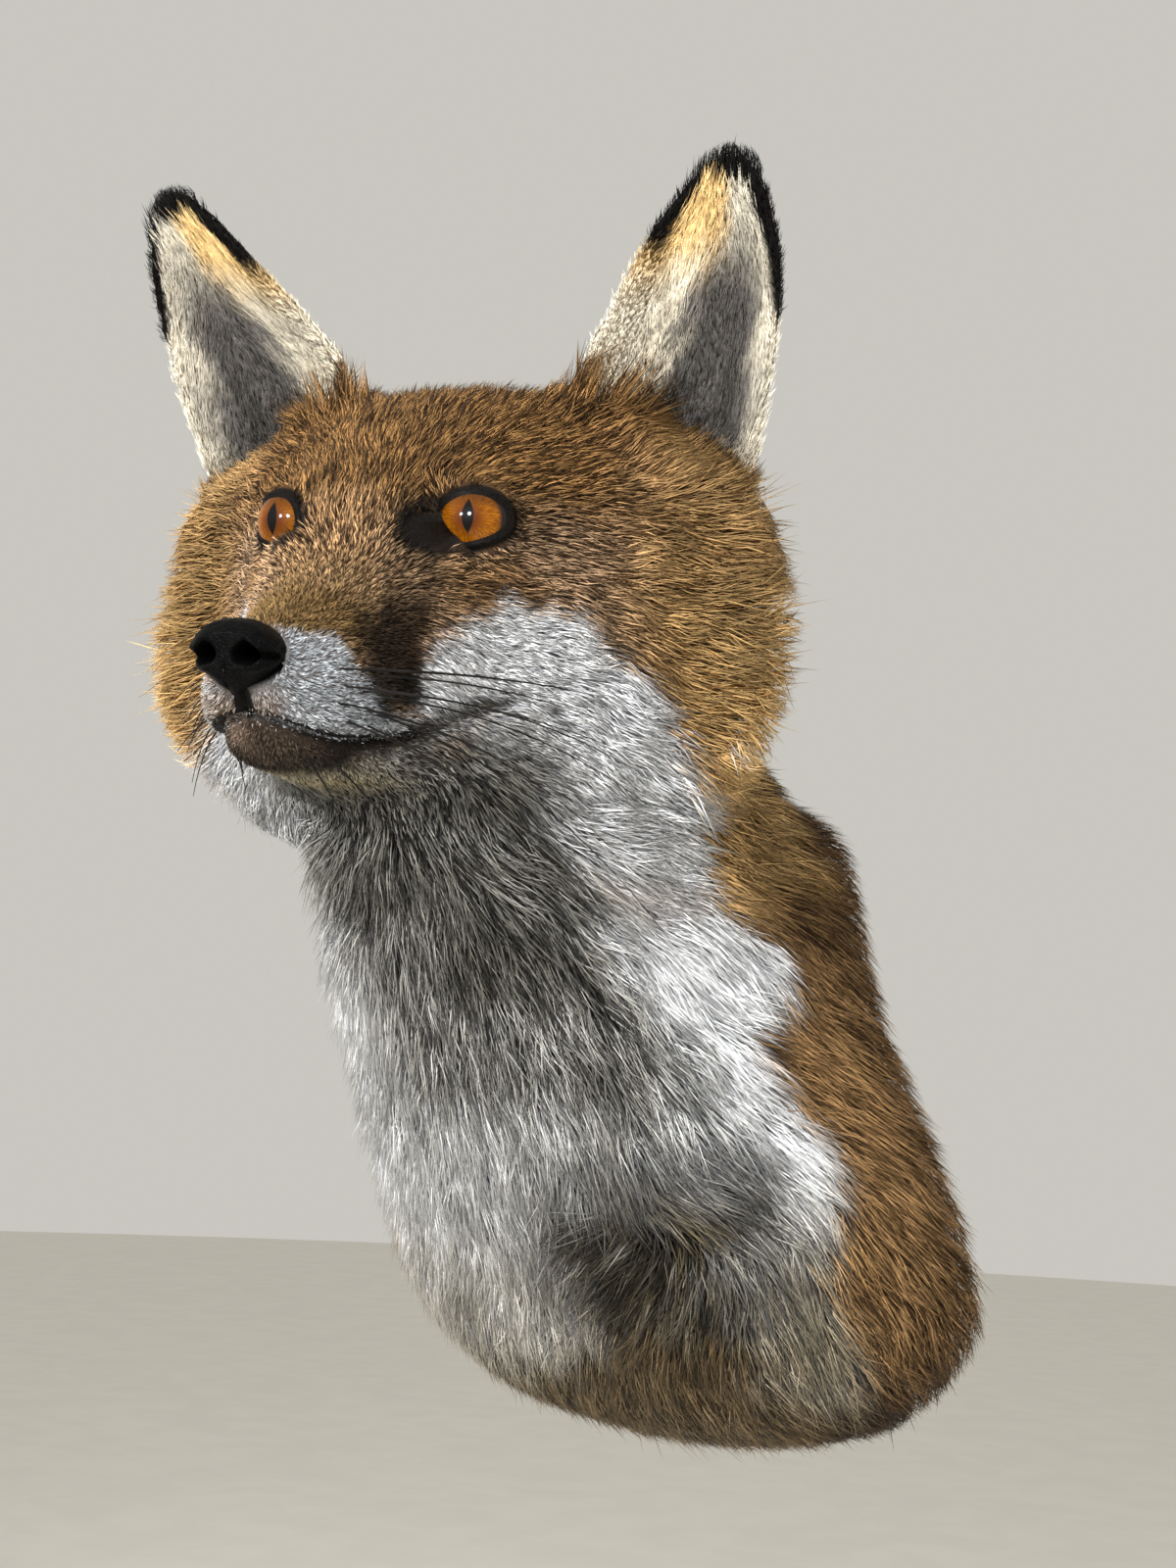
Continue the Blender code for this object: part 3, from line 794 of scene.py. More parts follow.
    # painted shade: darker brown on the top of the flank behind the cheek ruff
    lay("edge", ball(row, (62, -38, 68), (22, 22, 16), 0.5) * 0.6)
    lay("white", ball(row, (-61, -150, 87), (16, 20, 16)) * 0.6)
    lay("grey", ball(fold, (27, 14, -60), (13, 20, 7)) * 0.9, 0.8)
    jawEnd = np.interp(forward, [0, 20, 40, 56], [-48, -55, -62, -66])
    jaw = smooth(lipHeight(exact[:, 1]) - exact[:, 2], -0.6, 0.1)
    jaw = jaw * smooth(forward, -4, 10) * smooth(up - jawEnd, -3, 3)
    lay("chin", jaw, 0.3)
    lay("darkMarkAndShade", jaw * smooth(-forward, -54, -36) * 0.9)
    lay("beige", ball(fold, (4, 64, -50), (7, 6, 7)) * (1 - jaw) * 0.65, 0.2)
    lay("beige", smooth(-still[:, 0], -1, 5) * smooth(forward, 46, 54) * smooth(-up, 42, 46) * 0.7, 0.2)
    lay("black", fade(pathDistance(still, faceLines["mouth"]), 1.3, 2.2) * 0.85, 0.1)
    lay("dark", stripe(fold, [(22, 14, -60), (32, -2, -57)], 6) * 0.7)
    lay("darkMarkAndShade", stripe(exact, [(22, 20, -52), (27, 6, -47), (32, -9, -42.5)], 2.6) * 0.85)
    lay("strip", stripe(fold, [(22, 24, -57.5), (27, 12, -54), (31, -2, -50)], 3.4) * 0.85)
    lay("black", roundEyes(still, 1.4, 1.7) * 0.95, 0.1)
    lay("black", fade(nearLine(still, "tearLeft", "tearRight"), 3.6, 5.6) * 0.95)
    for corner, radii in cornerBalls:
        lay("black", ball(still, corner, radii, 0.25) * 0.95, 0.1)
    # the ears
    lay("earGrey", smooth(ears, 0.5, 0.8), 0.3)
    return layers


def earPlace(points, normals):
    # inside or outside of the ear, millimetres up it and the share of its width
    fold = bothSides(toHead(points))
    inner = smooth((normals @ headAxes) @ earOpen, -0.15, 0.2)
    outward = unit(np.cross(earWay, earOpen))
    outward = outward * np.sign(outward[0])
    along = (fold - (57, -62, 12)) @ earWay
    wide = np.interp(along, [-10, 20, 45, 65, 85, 95], [20, 25, 21, 16, 9, 4])
    return inner, along, (fold - (57, -62, 12)) @ outward / wide


def finishEars(normals, ears, place, layers):
    # the ears' own colours over the rest, with painted shade deep in the ear cup
    inner, along, share = place
    on = smooth(ears, 0.55, 0.85)
    back = fade((normals @ headAxes) @ earOpen, -0.45, -0.2)

    def lay(name, mask, mixed):
        layers.lay(name, mask * on, mixed)

    lay("earCream", np.ones(len(normals)), 0.2)
    streak = softNoise(columns(share * 22 - along * 0.3, along * 0.16, along * 0), 2.0, 91)
    hollow = 1 - smooth(np.abs(share - np.interp(along, [40, 75], [0.12, 0.3])) + streak * 0.15, 0.34, 0.8)
    hollow = hollow * (1 - 0.8 * smooth(along, 50, 80))
    lay("earGrey", inner * hollow * 0.95, 0.35)
    # painted shade: darker in the deep of the ear cup, broken by the streaks
    deep = ball(columns(share * 10, along * 0.25, along * 0), (2.2, 4.5, 0), (4.2, 7, 1))
    lay("darkMarkAndShade", inner * deep * smooth(streak, -0.8, 0.5) * 0.5, 0.3)
    lay("earGold", smooth(-share, 0.0, 0.5) * smooth(along, 44, 64), 0.2)
    lay("earGold", smooth(along, 56, 70) * fade(share, -0.2, 0.3), 0.2)
    lay("gold", fade(along, 4, 16) * smooth(share, 0.2, 0.6), 0.3)
    lay("black", back * smooth(along, 10, 24), 0.1)
    rim = np.interp(along, [10, 30, 50, 70, 80], [1.0, 0.98, 0.93, 0.82, 0.58])
    lay("black", smooth(share - rim, 0, 0.07), 0.1)
    lay("black", smooth(-share - rim, 0, 0.07) * smooth(along, 56, 66), 0.1)
    lay("black", smooth(along, 78.5, 80.5), 0.1)
    lay("rust", fade(along, 2, 22) * (1 - inner), 0.3)
    return layers.tip, layers.root, layers.mixed


# what grows where: length and width in millimetres, and hairs to a square millimetre
coatGrowth = {
    "body": (19, 0.40, 1.5), "flank": (15, 0.36, 1.5), "ruff": (22, 0.40, 1.8),
    "cheek": (11, 0.33, 2.5), "face": (6.5, 0.29, 3.6), "crown": (10, 0.32, 2.7),
    "muzzle": (3.2, 0.23, 5.4), "throat": (14, 0.36, 2.1), "chin": (1.6, 0.20, 4.0),
    "earBack": (3.0, 0.25, 3.2), "earIn": (7, 0.22, 3.6), "earFringe": (14, 0.27, 3.4),
    "tuft": (22, 0.34, 2.8),
}


def growth(points, ears, place):
    inner, along, share = place
    head = bothSides(toHead(points))
    left, forward, up = head.T
    keys = ("length", "width", "many")
    plan = dict.fromkeys(keys, np.zeros(len(points)))

    def grow(name, mask):
        for key, value in zip(keys, coatGrowth[name]):
            plan[key] = blend(plan[key], value, mask)

    grow("body", 1)
    grow("flank", smooth(beyond(points, flankEdge), -4, 8))
    onHead = smooth(forward - up * 0.35, -96, -74) * smooth(up, -104, -84)
    grow("ruff", onHead)
    grow("crown", onHead * smooth(up, 4, 22))
    grow("cheek", onHead * fade(left, 46, 66) * smooth(forward, -62, -34) * smooth(up, -78, -64))
    grow("crown", onHead * smooth(up, 8, 26) * smooth(forward, -95, -60))
    grow("face", smooth(forward - np.maximum(left - 30, 0), -38, -12) * smooth(up, -60, -48))
    grow("throat", smooth(-up, 60, 70) * smooth(forward, -30, -10))
    grow("muzzle", smooth(forward, 12, 26) * smooth(up, -62, -54))
    grow("chin", smooth(forward, 6, 22) * smooth(-up, 48, 54))
    grow("tuft", ball(head, (44, -50, 36), (13, 12, 12)) * fade(ears, 0.5, 0.8))
    on = smooth(ears, 0.55, 0.85)
    grow("earBack", on * (1 - inner))
    grow("earIn", on * inner)
    fringe = smooth(-share, 0.1, 0.4) * fade(-share, 0.6, 0.8) * fade(along, 52, 74)
    fringe = np.maximum(fringe, fade(along, -2, 12))
    grow("earFringe", on * inner * fringe)
    grow("earBack", on * smooth(np.abs(share), 0.8, 0.92))
    fromMouth = pathDistance(toHead(points), faceLines["mouth"])
    plan["length"] = plan["length"] * (0.45 + 0.55 * smooth(fromMouth, 0.8, 4.5))
    for share, reach, ray in bothEyes(toHead(points)):
        plan["length"] = plan["length"] * (0.5 + 0.5 * smooth(share + (reach > eyeRadius + 6), 1.3, 2.5))
    plan["fringe"] = on * inner * fringe
    plan["upright"] = ball(head, (42, -50, 40), (15, 14, 13), 0.5) * fade(ears, 0.4, 0.7)
    return plan


def lieOfCoat(points, normals, ears):
    # the way the hairs point, before it is laid along the skin
    head = toHead(points)
    left, forward, up = head.T
    side = np.sign(left)
    way = np.tile((0.0, 0.55, -1.0), (len(points), 1))
    way[:, 0] += 0.35 * np.clip(points[:, 0] / 70, -1, 1)
    turn = ball(points, (46, -74, -42), (36, 34, 28))[:, None]
    away = unit(points - np.array((52, -78, -36)))
    way = way * (1 - 0.5 * turn) - np.cross(normals, away) * turn * 0.6 + away * turn * 0.5
    lift = np.interp(up, [-90, -60, -30, 0, 20, 45], [-0.9, -0.55, -0.25, 0.02, 0.3, 0.1])
    lift = lift * (1 - 0.7 * smooth(forward, 8, 24))
    fall = columns(0.55 * side * smooth(np.abs(left), 6, 50), np.full(len(points), -1.0), lift)
    brow = ball(bothSides(head), (27, -4, 16), (22, 18, 16))[:, None]
    fall = fall + brow * columns(0.5 * side, 0 * side, 0.5 + 0 * side)
    onHead = smooth(forward - up * 0.35, -100, -78) * smooth(up, -108, -88)
    way = blend(way, fall @ headAxes.T, onHead[:, None])
    for share, reach, ray in bothEyes(head):
        parted = fade(share, 1.3, 2.6) * (reach < eyeRadius + 7)
        way = unit(way) + (ray @ headAxes.T) * (0.9 * parted)[:, None]
    upEar = np.tile(earWay, (len(side), 1))
    upEar[:, 0] *= side
    return unit(blend(way, upEar @ headAxes.T, smooth(ears, 0.45, 0.8)[:, None]))


def bareSkin(points, normals):
    # 0 where nothing grows: lids, lips, nose and back
    head = toHead(points)
    hair = 1 - roundEyes(head, 1.26, 1.42)
    hair = hair * smooth(nearLine(head, "tearLeft", "tearRight"), 2.2, 3.4)
    for corner, radii in cornerBalls:
        hair = hair * (1 - ball(head, corner, np.array(radii) * 0.75, 0.3))
    hair = hair * smooth(nearLine(head, "mouth"), 1.0, 1.9) * smooth(nearLine(head, "philtrum"), 1.6, 2.5)
    noseTree = searchTree([nose.data])
    for k in np.nonzero(head[:, 1] > 50)[0]:
        spot, normal, index, far = noseTree.find_nearest(Vector(points[k] * mm))
        inside = (Vector(points[k] * mm) - spot).dot(normal) < 0
        hair[k] *= 0 if inside or far < 0.3 * mm else 1
    hair = hair * (1 - ball(bothSides(head), (0, 66, -37), (10.5, 9, 7.5), 0.1))
    hair = hair * (points[:, 1] < wallGap - 1.0) * (normals[:, 1] < 0.92)
    return hair


def readSkin(skin):
    mesh = skin.data
    editMesh(mesh, bmesh.ops.triangulate)
    points, normals = meshArrays(mesh)
    corners = readRows(mesh.loops, "vertex_index", 1, np.int32).reshape(-1, 3)
    places = readRows(mesh.uv_layers["OFBake"].uv, "vector", 2).reshape(-1, 3, 2)
    ears = smooth(earShare(points), -6, -0.5)
    return {"points": points, "normals": normals, "corners": corners, "places": places,
            "ears": ears, "hair": bareSkin(points, normals), "ear": earPlace(points, normals)}


def unwrap(skin):
    skin.data.uv_layers.new(name="OFBake")
    bpy.ops.object.select_all(action="DESELECT")
    skin.select_set(True)
    bpy.context.view_layer.objects.active = skin
    bpy.ops.object.mode_set(mode="EDIT")
    bpy.ops.mesh.select_all(action="SELECT")
    bpy.ops.uv.smart_project(angle_limit=math.radians(66), island_margin=0.002)
    bpy.ops.object.mode_set(mode="OBJECT")


coatTotal = {"tufts": 236000, "mostToPiece": 33000, "patch": 0.0015, "seed": 7}


def sowRoots(found):
    # even sampling over the triangles, by area and by how much grows there
    rng = np.random.default_rng(coatTotal["seed"])
    a, b, c = (found["points"][found["corners"][:, k]] for k in range(3))
    area = np.linalg.norm(np.cross(b - a, c - a), axis=1) / 2
    plan = growth(found["points"], found["ears"], found["ear"])
    total = np.cumsum((plan["many"] * found["hair"])[found["corners"]].mean(axis=1) * area)
    print("coat wants", int(total[-1]), "tufts")
    count = min(coatTotal["tufts"], int(total[-1]))
    pick = np.searchsorted(total, (np.arange(count) + rng.random(count)) * total[-1] / count)
    pick = np.minimum(pick, len(total) - 1)
    one, two = rng.random(count), rng.random(count)
    flip = one + two > 1
    one[flip], two[flip] = 1 - one[flip], 1 - two[flip]
    parts = columns(1 - one - two, one, two)
    corners = found["corners"][pick]
    roots = {key: (found[key][corners] * parts[:, :, None]).sum(1) for key in ("points", "normals")}
    roots["normals"] = unit(roots["normals"])
    roots["ears"] = (found["ears"][corners] * parts).sum(1)
    roots["places"] = (found["places"][pick] * parts[:, :, None]).sum(1)
    roots["random"] = rng.random((count, 8))
    keep = (found["hair"][corners] * parts).sum(1) > 0.15
    return {key: value[keep] for key, value in roots.items()}


def sideDrift(near, normals):
    # every lock leans its own way
    return alongSkin(noiseVectors(near, 1.3, 81), normals)


def trimTips(ends, allow):
    # keep the tips inside the outline that the CAD solids give, apart from stray hairs
    flesh = ("head", "lower_jaw", "neck", "chest", "ear_left", "ear_right")
    tree = searchTree([nodes[name].data for name in flesh], mm)
    moved = ends.copy()
    for k, end in enumerate(ends):
        spot, normal, index, far = tree.find_nearest(end)
        if far > allow[k]:
            out = end - np.array(spot)
            if out @ np.array(normal) > 0:
                moved[k] = end - out / far * (far - allow[k])
    return moved


# shares of a lock's length, but for clump, the share of the way to the middle of its bunch, and the strays,
# which reach up to some millimetres past the outline where their random number is above the share
lockShape = {"clump": 0.68, "drift": 0.2, "bow": 0.07, "curl": 0.18, "bend": 0.42, "droop": 0.05,
             "strayAbove": 0.92, "stray": 7.5, "sunk": 0.4}


def growCoat(roots):
    points, normals, ears, random = (roots[key] for key in ("points", "normals", "ears", "random"))
    place = earPlace(points, normals)
    plan = growth(points, ears, place)
    way = lieOfCoat(points, normals, ears)
    length = plan["length"] * (0.7 + 0.55 * random[:, 3])
    width = plan["width"] * (0.7 + 0.6 * random[:, 4])
    depth = depthField(points) * (1 - ears) + (0.7 + 0.9 * place[0] + 1.4 * plan["fringe"]) * ears
    loose = smooth(plan["length"], 6, 16) * fade(ears, 0.4, 0.7)
    way = way + noiseVectors(points, 24, 51) * 0.25
    way = way + noiseVectors(points, 7, 61) * (0.16 + 0.26 * loose)[:, None]
    way = way + (random[:, 5:8] - 0.5) * (0.24 + 0.2 * loose)[:, None]
    way = unit(alongSkin(way, normals))
    rise = np.clip(depth / plan["length"] * (0.55 + 0.6 * random[:, 0]) + 0.3 * plan["upright"], 0.08, 0.75)
    reach = way * np.sqrt(1 - rise ** 2)[:, None] + normals * rise[:, None]
    layers = markings(points + way * (length * 0.55)[:, None] + (random[:, :3] - 0.5) * 2.4, ears)
    tip, root, mixed = finishEars(normals, ears, place, layers)
    size = np.clip(plan["length"] * 0.26, 1.2, 7)
    near, number = np.zeros_like(points), np.zeros(len(points))
    for low, high, cell in ((0, 2, 1.6), (2, 4.5, 3.2), (4.5, 9, 6.0)):
        chosen = (size >= low) & (size < high)
        if chosen.any():
            near[chosen], number[chosen] = nearestSeed(points[chosen], cell, int(cell * 10))
    pull = alongSkin(near - points, normals) * lockShape["clump"]
    pull = pull + sideDrift(near, normals) * (length * lockShape["drift"])[:, None]
    bow = normals * (length * lockShape["bow"])[:, None]
    sideways = unit(np.cross(reach, normals))
    curl = sideways * (length * lockShape["curl"] * (random[:, 1] - 0.5))[:, None]
    middle = points + reach * (length * lockShape["bend"])[:, None] + bow + pull * 0.35 + curl
    end = points + reach * length[:, None] + pull - normals * (length * lockShape["droop"])[:, None]
    stray = lockShape["stray"] * random[:, 6] * smooth(plan["length"], 8, 16)
    stray = np.where(random[:, 7] > lockShape["strayAbove"], stray, 0)
    stray = stray + 6 * plan["upright"] * number
    onEar = smooth(ears, 0.1, 0.6)
    rim = smooth(np.abs(place[2]), 0.75, 0.95)
    allow = (0.3 + 1.5 * random[:, 4] ** 2 + stray + 2.0 * number ** 2 * loose) * (1 - onEar)
    end = trimTips(end, allow + onEar * (1.9 + 0.8 * random[:, 4] * (1 - 0.8 * rim)))
    middle = trimTips(middle, 0.1 + 1.9 * onEar)
    for line in (end, middle):
        line[:, 1] = np.minimum(line[:, 1], wallGap - 0.3)
    start = points - normals * lockShape["sunk"]
    shade = (0.6 + 0.66 * number) * (0.66 + 0.68 * random[:, 2])
    dark = (random[:, 6] < mixed * 0.5)[:, None]
    tip = np.where(dark, root * 1.2 + tip * 0.1, tip)
    shade = 1 + (shade - 1) * (1 - 0.55 * onEar)
    # the hairs darken from tip to root: their own dark roots, made darker still as painted shade deep in the
    # coat
    colours = columns(root * 0.4, root * 0.5 + tip * 0.5, tip * 1.05) * shade[:, None, None]
    return {"start": start, "middle": middle, "end": end, "sideways": sideways, "width": width,
            "colours": np.clip(colours, 0, 1), "places": roots["places"]}


def tuftMesh(name, tufts, chosen):
    # each lock is a closed spindle: a root, a ring of three and a tip
    start, middle, end, side = (tufts[key][chosen] for key in ("start", "middle", "end", "sideways"))
    width = tufts["width"][chosen][:, None]
    count = len(start)
    across = side * width / 2
    rise = unit(np.cross(side, end - start)) * width * 0.3
    below = middle - rise * 0.5
    points = columns(start, below + across, below - across, middle + rise, end)
    faces = np.array([(0, 1, 2), (0, 2, 3), (0, 3, 1), (4, 2, 1), (4, 3, 2), (4, 1, 3)])
    sample = points[0]
    a, b, c = (sample[faces[:, k]] - sample[0] for k in range(3))
    if (a * np.cross(b, c)).sum() < 0:
        faces = faces[:, ::-1]
    corners = (faces[None] + (np.arange(count) * 5)[:, None, None]).reshape(-1)
    mesh = bpy.data.meshes.new(name)
    mesh.vertices.add(count * 5)
    mesh.vertices.foreach_set("co", (points * mm).astype(np.float32).ravel())
    mesh.loops.add(len(corners))
    mesh.loops.foreach_set("vertex_index", corners.astype(np.int32))
    mesh.polygons.add(len(corners) // 3)
    mesh.polygons.foreach_set("loop_start", np.arange(0, len(corners), 3, dtype=np.int32))
    mesh.update(calc_edges=True)
    colours = tufts["colours"][chosen]
    five = columns(colours[:, 0], colours[:, 1], colours[:, 1], colours[:, 1], colours[:, 2])
    colourPoints(mesh, five.reshape(-1, 3))
    patch = np.array([(0, -1), (-0.8, 0), (0.8, 0), (0, 0.3), (0, 1)]) * coatTotal["patch"]
    places = (tufts["places"][chosen][:, None, :] + patch[None]).reshape(-1, 2)
    layer = mesh.uv_layers.new(name="OFBake")
    layer.uv.foreach_set("vector", places[corners].astype(np.float32).ravel())
    mesh.shade_smooth()
    mesh.validate()
    return addObject(name, mesh)


unwrap(skin)
print("unwrapped")
found = readSkin(skin)
roots = sowRoots(found)
tufts = growCoat(roots)


def coatZones(points, ears):
    # the piece of the coat that each tuft belongs to, by its place in zoneNames
    head = toHead(points)
    zones = np.zeros(len(points), int)
    zones[points[:, 0] < 12] = 1
    zones[beyond(points, flankEdge) > 0] = 2
    zones[(head[:, 1] - head[:, 2] * 0.35 > -84) & (head[:, 2] > -95)] = 3
    zones[(zones == 3) & (head[:, 0] < 0)] = 4
    zones[(zones > 2) & (head[:, 1] > -30) & (head[:, 2] > -62) & (np.abs(head[:, 0]) < 48)] = 5
    zones[(zones == 5) & (head[:, 1] > 14)] = 6
    zones[ears > 0.6] = 7
    return zones


zoneNames = ["coatChestLeft", "coatChestRight", "coatFlanks", "coatRuffLeft", "coatRuffRight", "coatFace",
             "coatMuzzle", "coatEars"]
zones = coatZones(roots["points"], roots["ears"])
coat = []
for index, name in enumerate(zoneNames):
    members = np.nonzero(zones == index)[0]
    pieces = int(np.ceil(len(members) / coatTotal["mostToPiece"]))
    order = members[np.argsort(roots["points"][members, 2])]
    for k, share in enumerate(np.array_split(order, pieces)):
        coat.append(tuftMesh(name + ("ABCD"[k] if pieces > 1 else ""), tufts, share))
        print(coat[-1].name, len(share) * 6)


# whiskers and chin bristles: paths laid out here, geometry nodes give them their thickness
whiskerShape = {"thick": 0.29, "longer": 1.3, "sides": 5, "points": 14, "seed": 3}
# root in the head's axes, first direction, length and droop
whiskerPlan = [
    [(17, 45, -38), (0.80, -0.58, 0.03), 42, 0.10], [(18.5, 40, -38), (0.80, -0.58, 0.05), 50, 0.12],
    [(20, 35, -39), (0.83, -0.55, 0.03), 56, 0.16], [(17, 46, -42), (0.81, -0.58, -0.03), 52, 0.14],
    [(19, 40, -43), (0.83, -0.55, -0.02), 64, 0.20], [(21, 33, -44), (0.85, -0.52, -0.06), 66, 0.24],
    [(17, 47, -46), (0.80, -0.55, -0.18), 46, 0.16], [(19, 40, -47), (0.82, -0.52, -0.20), 60, 0.26],
    [(21, 34, -48), (0.83, -0.48, -0.26), 66, 0.30], [(18, 45, -50), (0.78, -0.50, -0.34), 44, 0.20],
    [(20, 37, -51), (0.78, -0.46, -0.40), 52, 0.30], [(10, 52, -60), (0.30, -0.75, -0.58), 22, 0.1],
    [(13, 42, -62), (0.40, -0.75, -0.50), 26, 0.1],
]


def whiskerPaths():
    rng = np.random.default_rng(whiskerShape["seed"])
    points, links = [], []
    steps = np.linspace(0, 1, whiskerShape["points"])[:, None]
    hairs = [(side, *plan) for side in (1, -1) for plan in whiskerPlan]
    starts = snapToSkin(skin, np.array([np.array(root) * (side, 1, 1) for side, root, *rest in hairs], float))
    for start, (side, root, way, length, droop) in zip(starts, hairs):
        ahead = unit(np.array(way) * np.array((side, 1, 1)) + rng.normal(0, 0.05, 3))
        reach = length * whiskerShape["longer"] * rng.uniform(0.85, 1.1) * (1 if side > 0 else 0.35)
        bend = np.array((-0.10 * side, -0.05, -droop)) * rng.uniform(0.7, 1.3)
        path = start - ahead * 1.5 + reach * (steps * ahead + steps ** 2 * bend)
        links += [(len(points) + k, len(points) + k + 1) for k in range(len(path) - 1)]
        points += list(fromHead(path) * mm)
    mesh = bpy.data.meshes.new("whiskers")
    mesh.from_pydata(points, links, [])
    return addObject("whiskers", mesh)


def groupTree(name, inputs):
    tree = bpy.data.node_groups.new(name, "GeometryNodeTree")
    sockets = {}
    for label, kind in (("Geometry", "Geometry"), *inputs):
        sockets[label] = tree.interface.new_socket(label, in_out="INPUT", socket_type="NodeSocket" + kind)
    tree.interface.new_socket("Geometry", in_out="OUTPUT", socket_type="NodeSocketGeometry")
    return tree, tree.nodes.new("NodeGroupInput").outputs, sockets


def treeNode(tree, kind, settings=None, **sockets):
    node = tree.nodes.new(kind)
    for name, value in (settings or {}).items():
        setattr(node, name, value)
    for name, value in sockets.items():
        socket = node.inputs[name.replace("_", " ")]
        if isinstance(value, bpy.types.NodeSocket):
            tree.links.new(value, socket)
        else:
            socket.default_value = value
    return node.outputs[0]


def closeTree(tree, shape, material):
    # realized and given its material, as every tree here ends
    real = treeNode(tree, "GeometryNodeRealizeInstances", Geometry=shape)
    coloured = treeNode(tree, "GeometryNodeSetMaterial", Geometry=real, Material=material)
    tree.links.new(coloured, tree.nodes.new("NodeGroupOutput").inputs[0])


def bristleTree():
    inputs = (("Thickness", "Float"), ("Sides", "Int"), ("Material", "Material"))
    tree, given, sockets = groupTree("bristles", inputs)
    lines = treeNode(tree, "GeometryNodeMeshToCurve", Mesh=given["Geometry"])
    along = treeNode(tree, "GeometryNodeSplineParameter")
    taper = treeNode(tree, "ShaderNodeMapRange", Value=along, To_Min=1.0, To_Max=0.25)
    thick = treeNode(tree, "ShaderNodeMath", {"operation": "MULTIPLY"}, Value=taper)
    tree.links.new(given["Thickness"], thick.node.inputs[1])
    ring = treeNode(tree, "GeometryNodeCurvePrimitiveCircle", Resolution=given["Sides"], Radius=1.0)
    sized = treeNode(tree, "GeometryNodeSetCurveRadius", Curve=lines, Radius=thick)
    tube = treeNode(tree, "GeometryNodeCurveToMesh", Curve=sized, Profile_Curve=ring, Fill_Caps=True)
    if "Scale" in tube.node.inputs:
        tree.links.new(thick, tube.node.inputs["Scale"])
    closeTree(tree, tube, given["Material"])
    return tree, sockets


def growTree(thing, tree, sockets, values):
    modifier = thing.modifiers.new(tree.name, "NODES")
    modifier.node_group = tree
    for name, value in values.items():
        modifier[sockets[name].identifier] = value
    return settle(thing)


def join(tree, value, socket):
    if isinstance(value, Wire):
        tree.links.new(value.socket, socket)
    else:
        socket.default_value = value


# shader maths: a wrapped socket takes part in plain expressions
class Wire:
    def __init__(self, tree, socket):
        self.tree = tree
        self.socket = socket

    def result(self, operation, *values):
        node = self.tree.nodes.new("ShaderNodeMath")
        node.operation = operation
        for slot, value in zip(node.inputs, values):
            join(self.tree, value, slot)
        return Wire(self.tree, node.outputs[0])

    def math(self, operation, *others):
        return self.result(operation, self, *others)

    def __add__(self, other):
        return self.math("ADD", other)

    def __sub__(self, other):
        return self.math("SUBTRACT", other)

    def __mul__(self, other):
        return self.math("MULTIPLY", other)

    def __truediv__(self, other):
        return self.math("DIVIDE", other)

    def __rsub__(self, other):
        return self.result("SUBTRACT", other, self)

    __radd__ = __add__
    __rmul__ = __mul__

    def between(self, low, high, start=0.0, end=1.0):
        node = self.tree.nodes.new("ShaderNodeMapRange")
        node.interpolation_type = "SMOOTHSTEP"
        self.tree.links.new(self.socket, node.inputs["Value"])
        for name, value in (("From Min", low), ("From Max", high), ("To Min", start), ("To Max", end)):
            node.inputs[name].default_value = value
        return Wire(self.tree, node.outputs[0])


class Finish:
    # one material: node() adds any node, with its settings first and then its sockets
    def __init__(self, name):
        self.material = bpy.data.materials.new(name)
        self.material.use_nodes = True
        self.tree = self.material.node_tree
        self.shader = self.tree.nodes["Principled BSDF"]

    def node(self, kind, settings=None, output=0, **sockets):
        node = self.tree.nodes.new("ShaderNode" + kind)
        for name, value in (settings or {}).items():
            setattr(node, name, value)
        for name, value in sockets.items():
            join(self.tree, value, node.inputs[name.replace("_", " ")])
        return Wire(self.tree, node.outputs[output])

    def mix(self, share, first, second, blend="MIX"):
        node = self.tree.nodes.new("ShaderNodeMix")
        node.data_type = "RGBA"
        node.blend_type = blend
        join(self.tree, share, node.inputs["Factor"])
        for value, socket in ((first, node.inputs[6]), (second, node.inputs[7])):
            join(self.tree, value if isinstance(value, Wire) else (*value, 1), socket)
        return Wire(self.tree, node.outputs[2])

    def place(self, scale=1000.0):
        # object coordinates in millimetres
        spot = self.node("TexCoord", output=3)
        return self.node("Mapping", Vector=spot, Scale=(scale, scale, scale))

    def noise(self, spot, size, detail=2.0, roughness=0.5):
        return self.node("TexNoise", Vector=spot, Scale=1 / size, Detail=detail, Roughness=roughness)

    def attribute(self, name):
        return self.node("Attribute", {"attribute_name": name})

    def bump(self, height, distance, strength=1.0):
        return self.node("Bump", Height=height, Distance=distance * mm, Strength=strength)

    def set(self, **sockets):
        for name, value in sockets.items():
            join(self.tree, value, self.shader.inputs[name.replace("_", " ")])
        return self.material


def coatMaterial():
    f = Finish("coatHair")
    spot = f.place()
    colour = f.attribute("coatColour")
    grain = f.noise(spot, 2.2, 3).between(0.3, 0.7, 0.82, 1.14)
    shade = f.node("CombineColor", Red=grain, Green=grain, Blue=grain)
    colour = f.mix(1.0, colour, shade, "MULTIPLY")
    rough = f.noise(spot, 5).between(0.3, 0.7, 0.42, 0.6)
    return f.set(Base_Color=colour, Roughness=rough, Specular_IOR_Level=0.14)


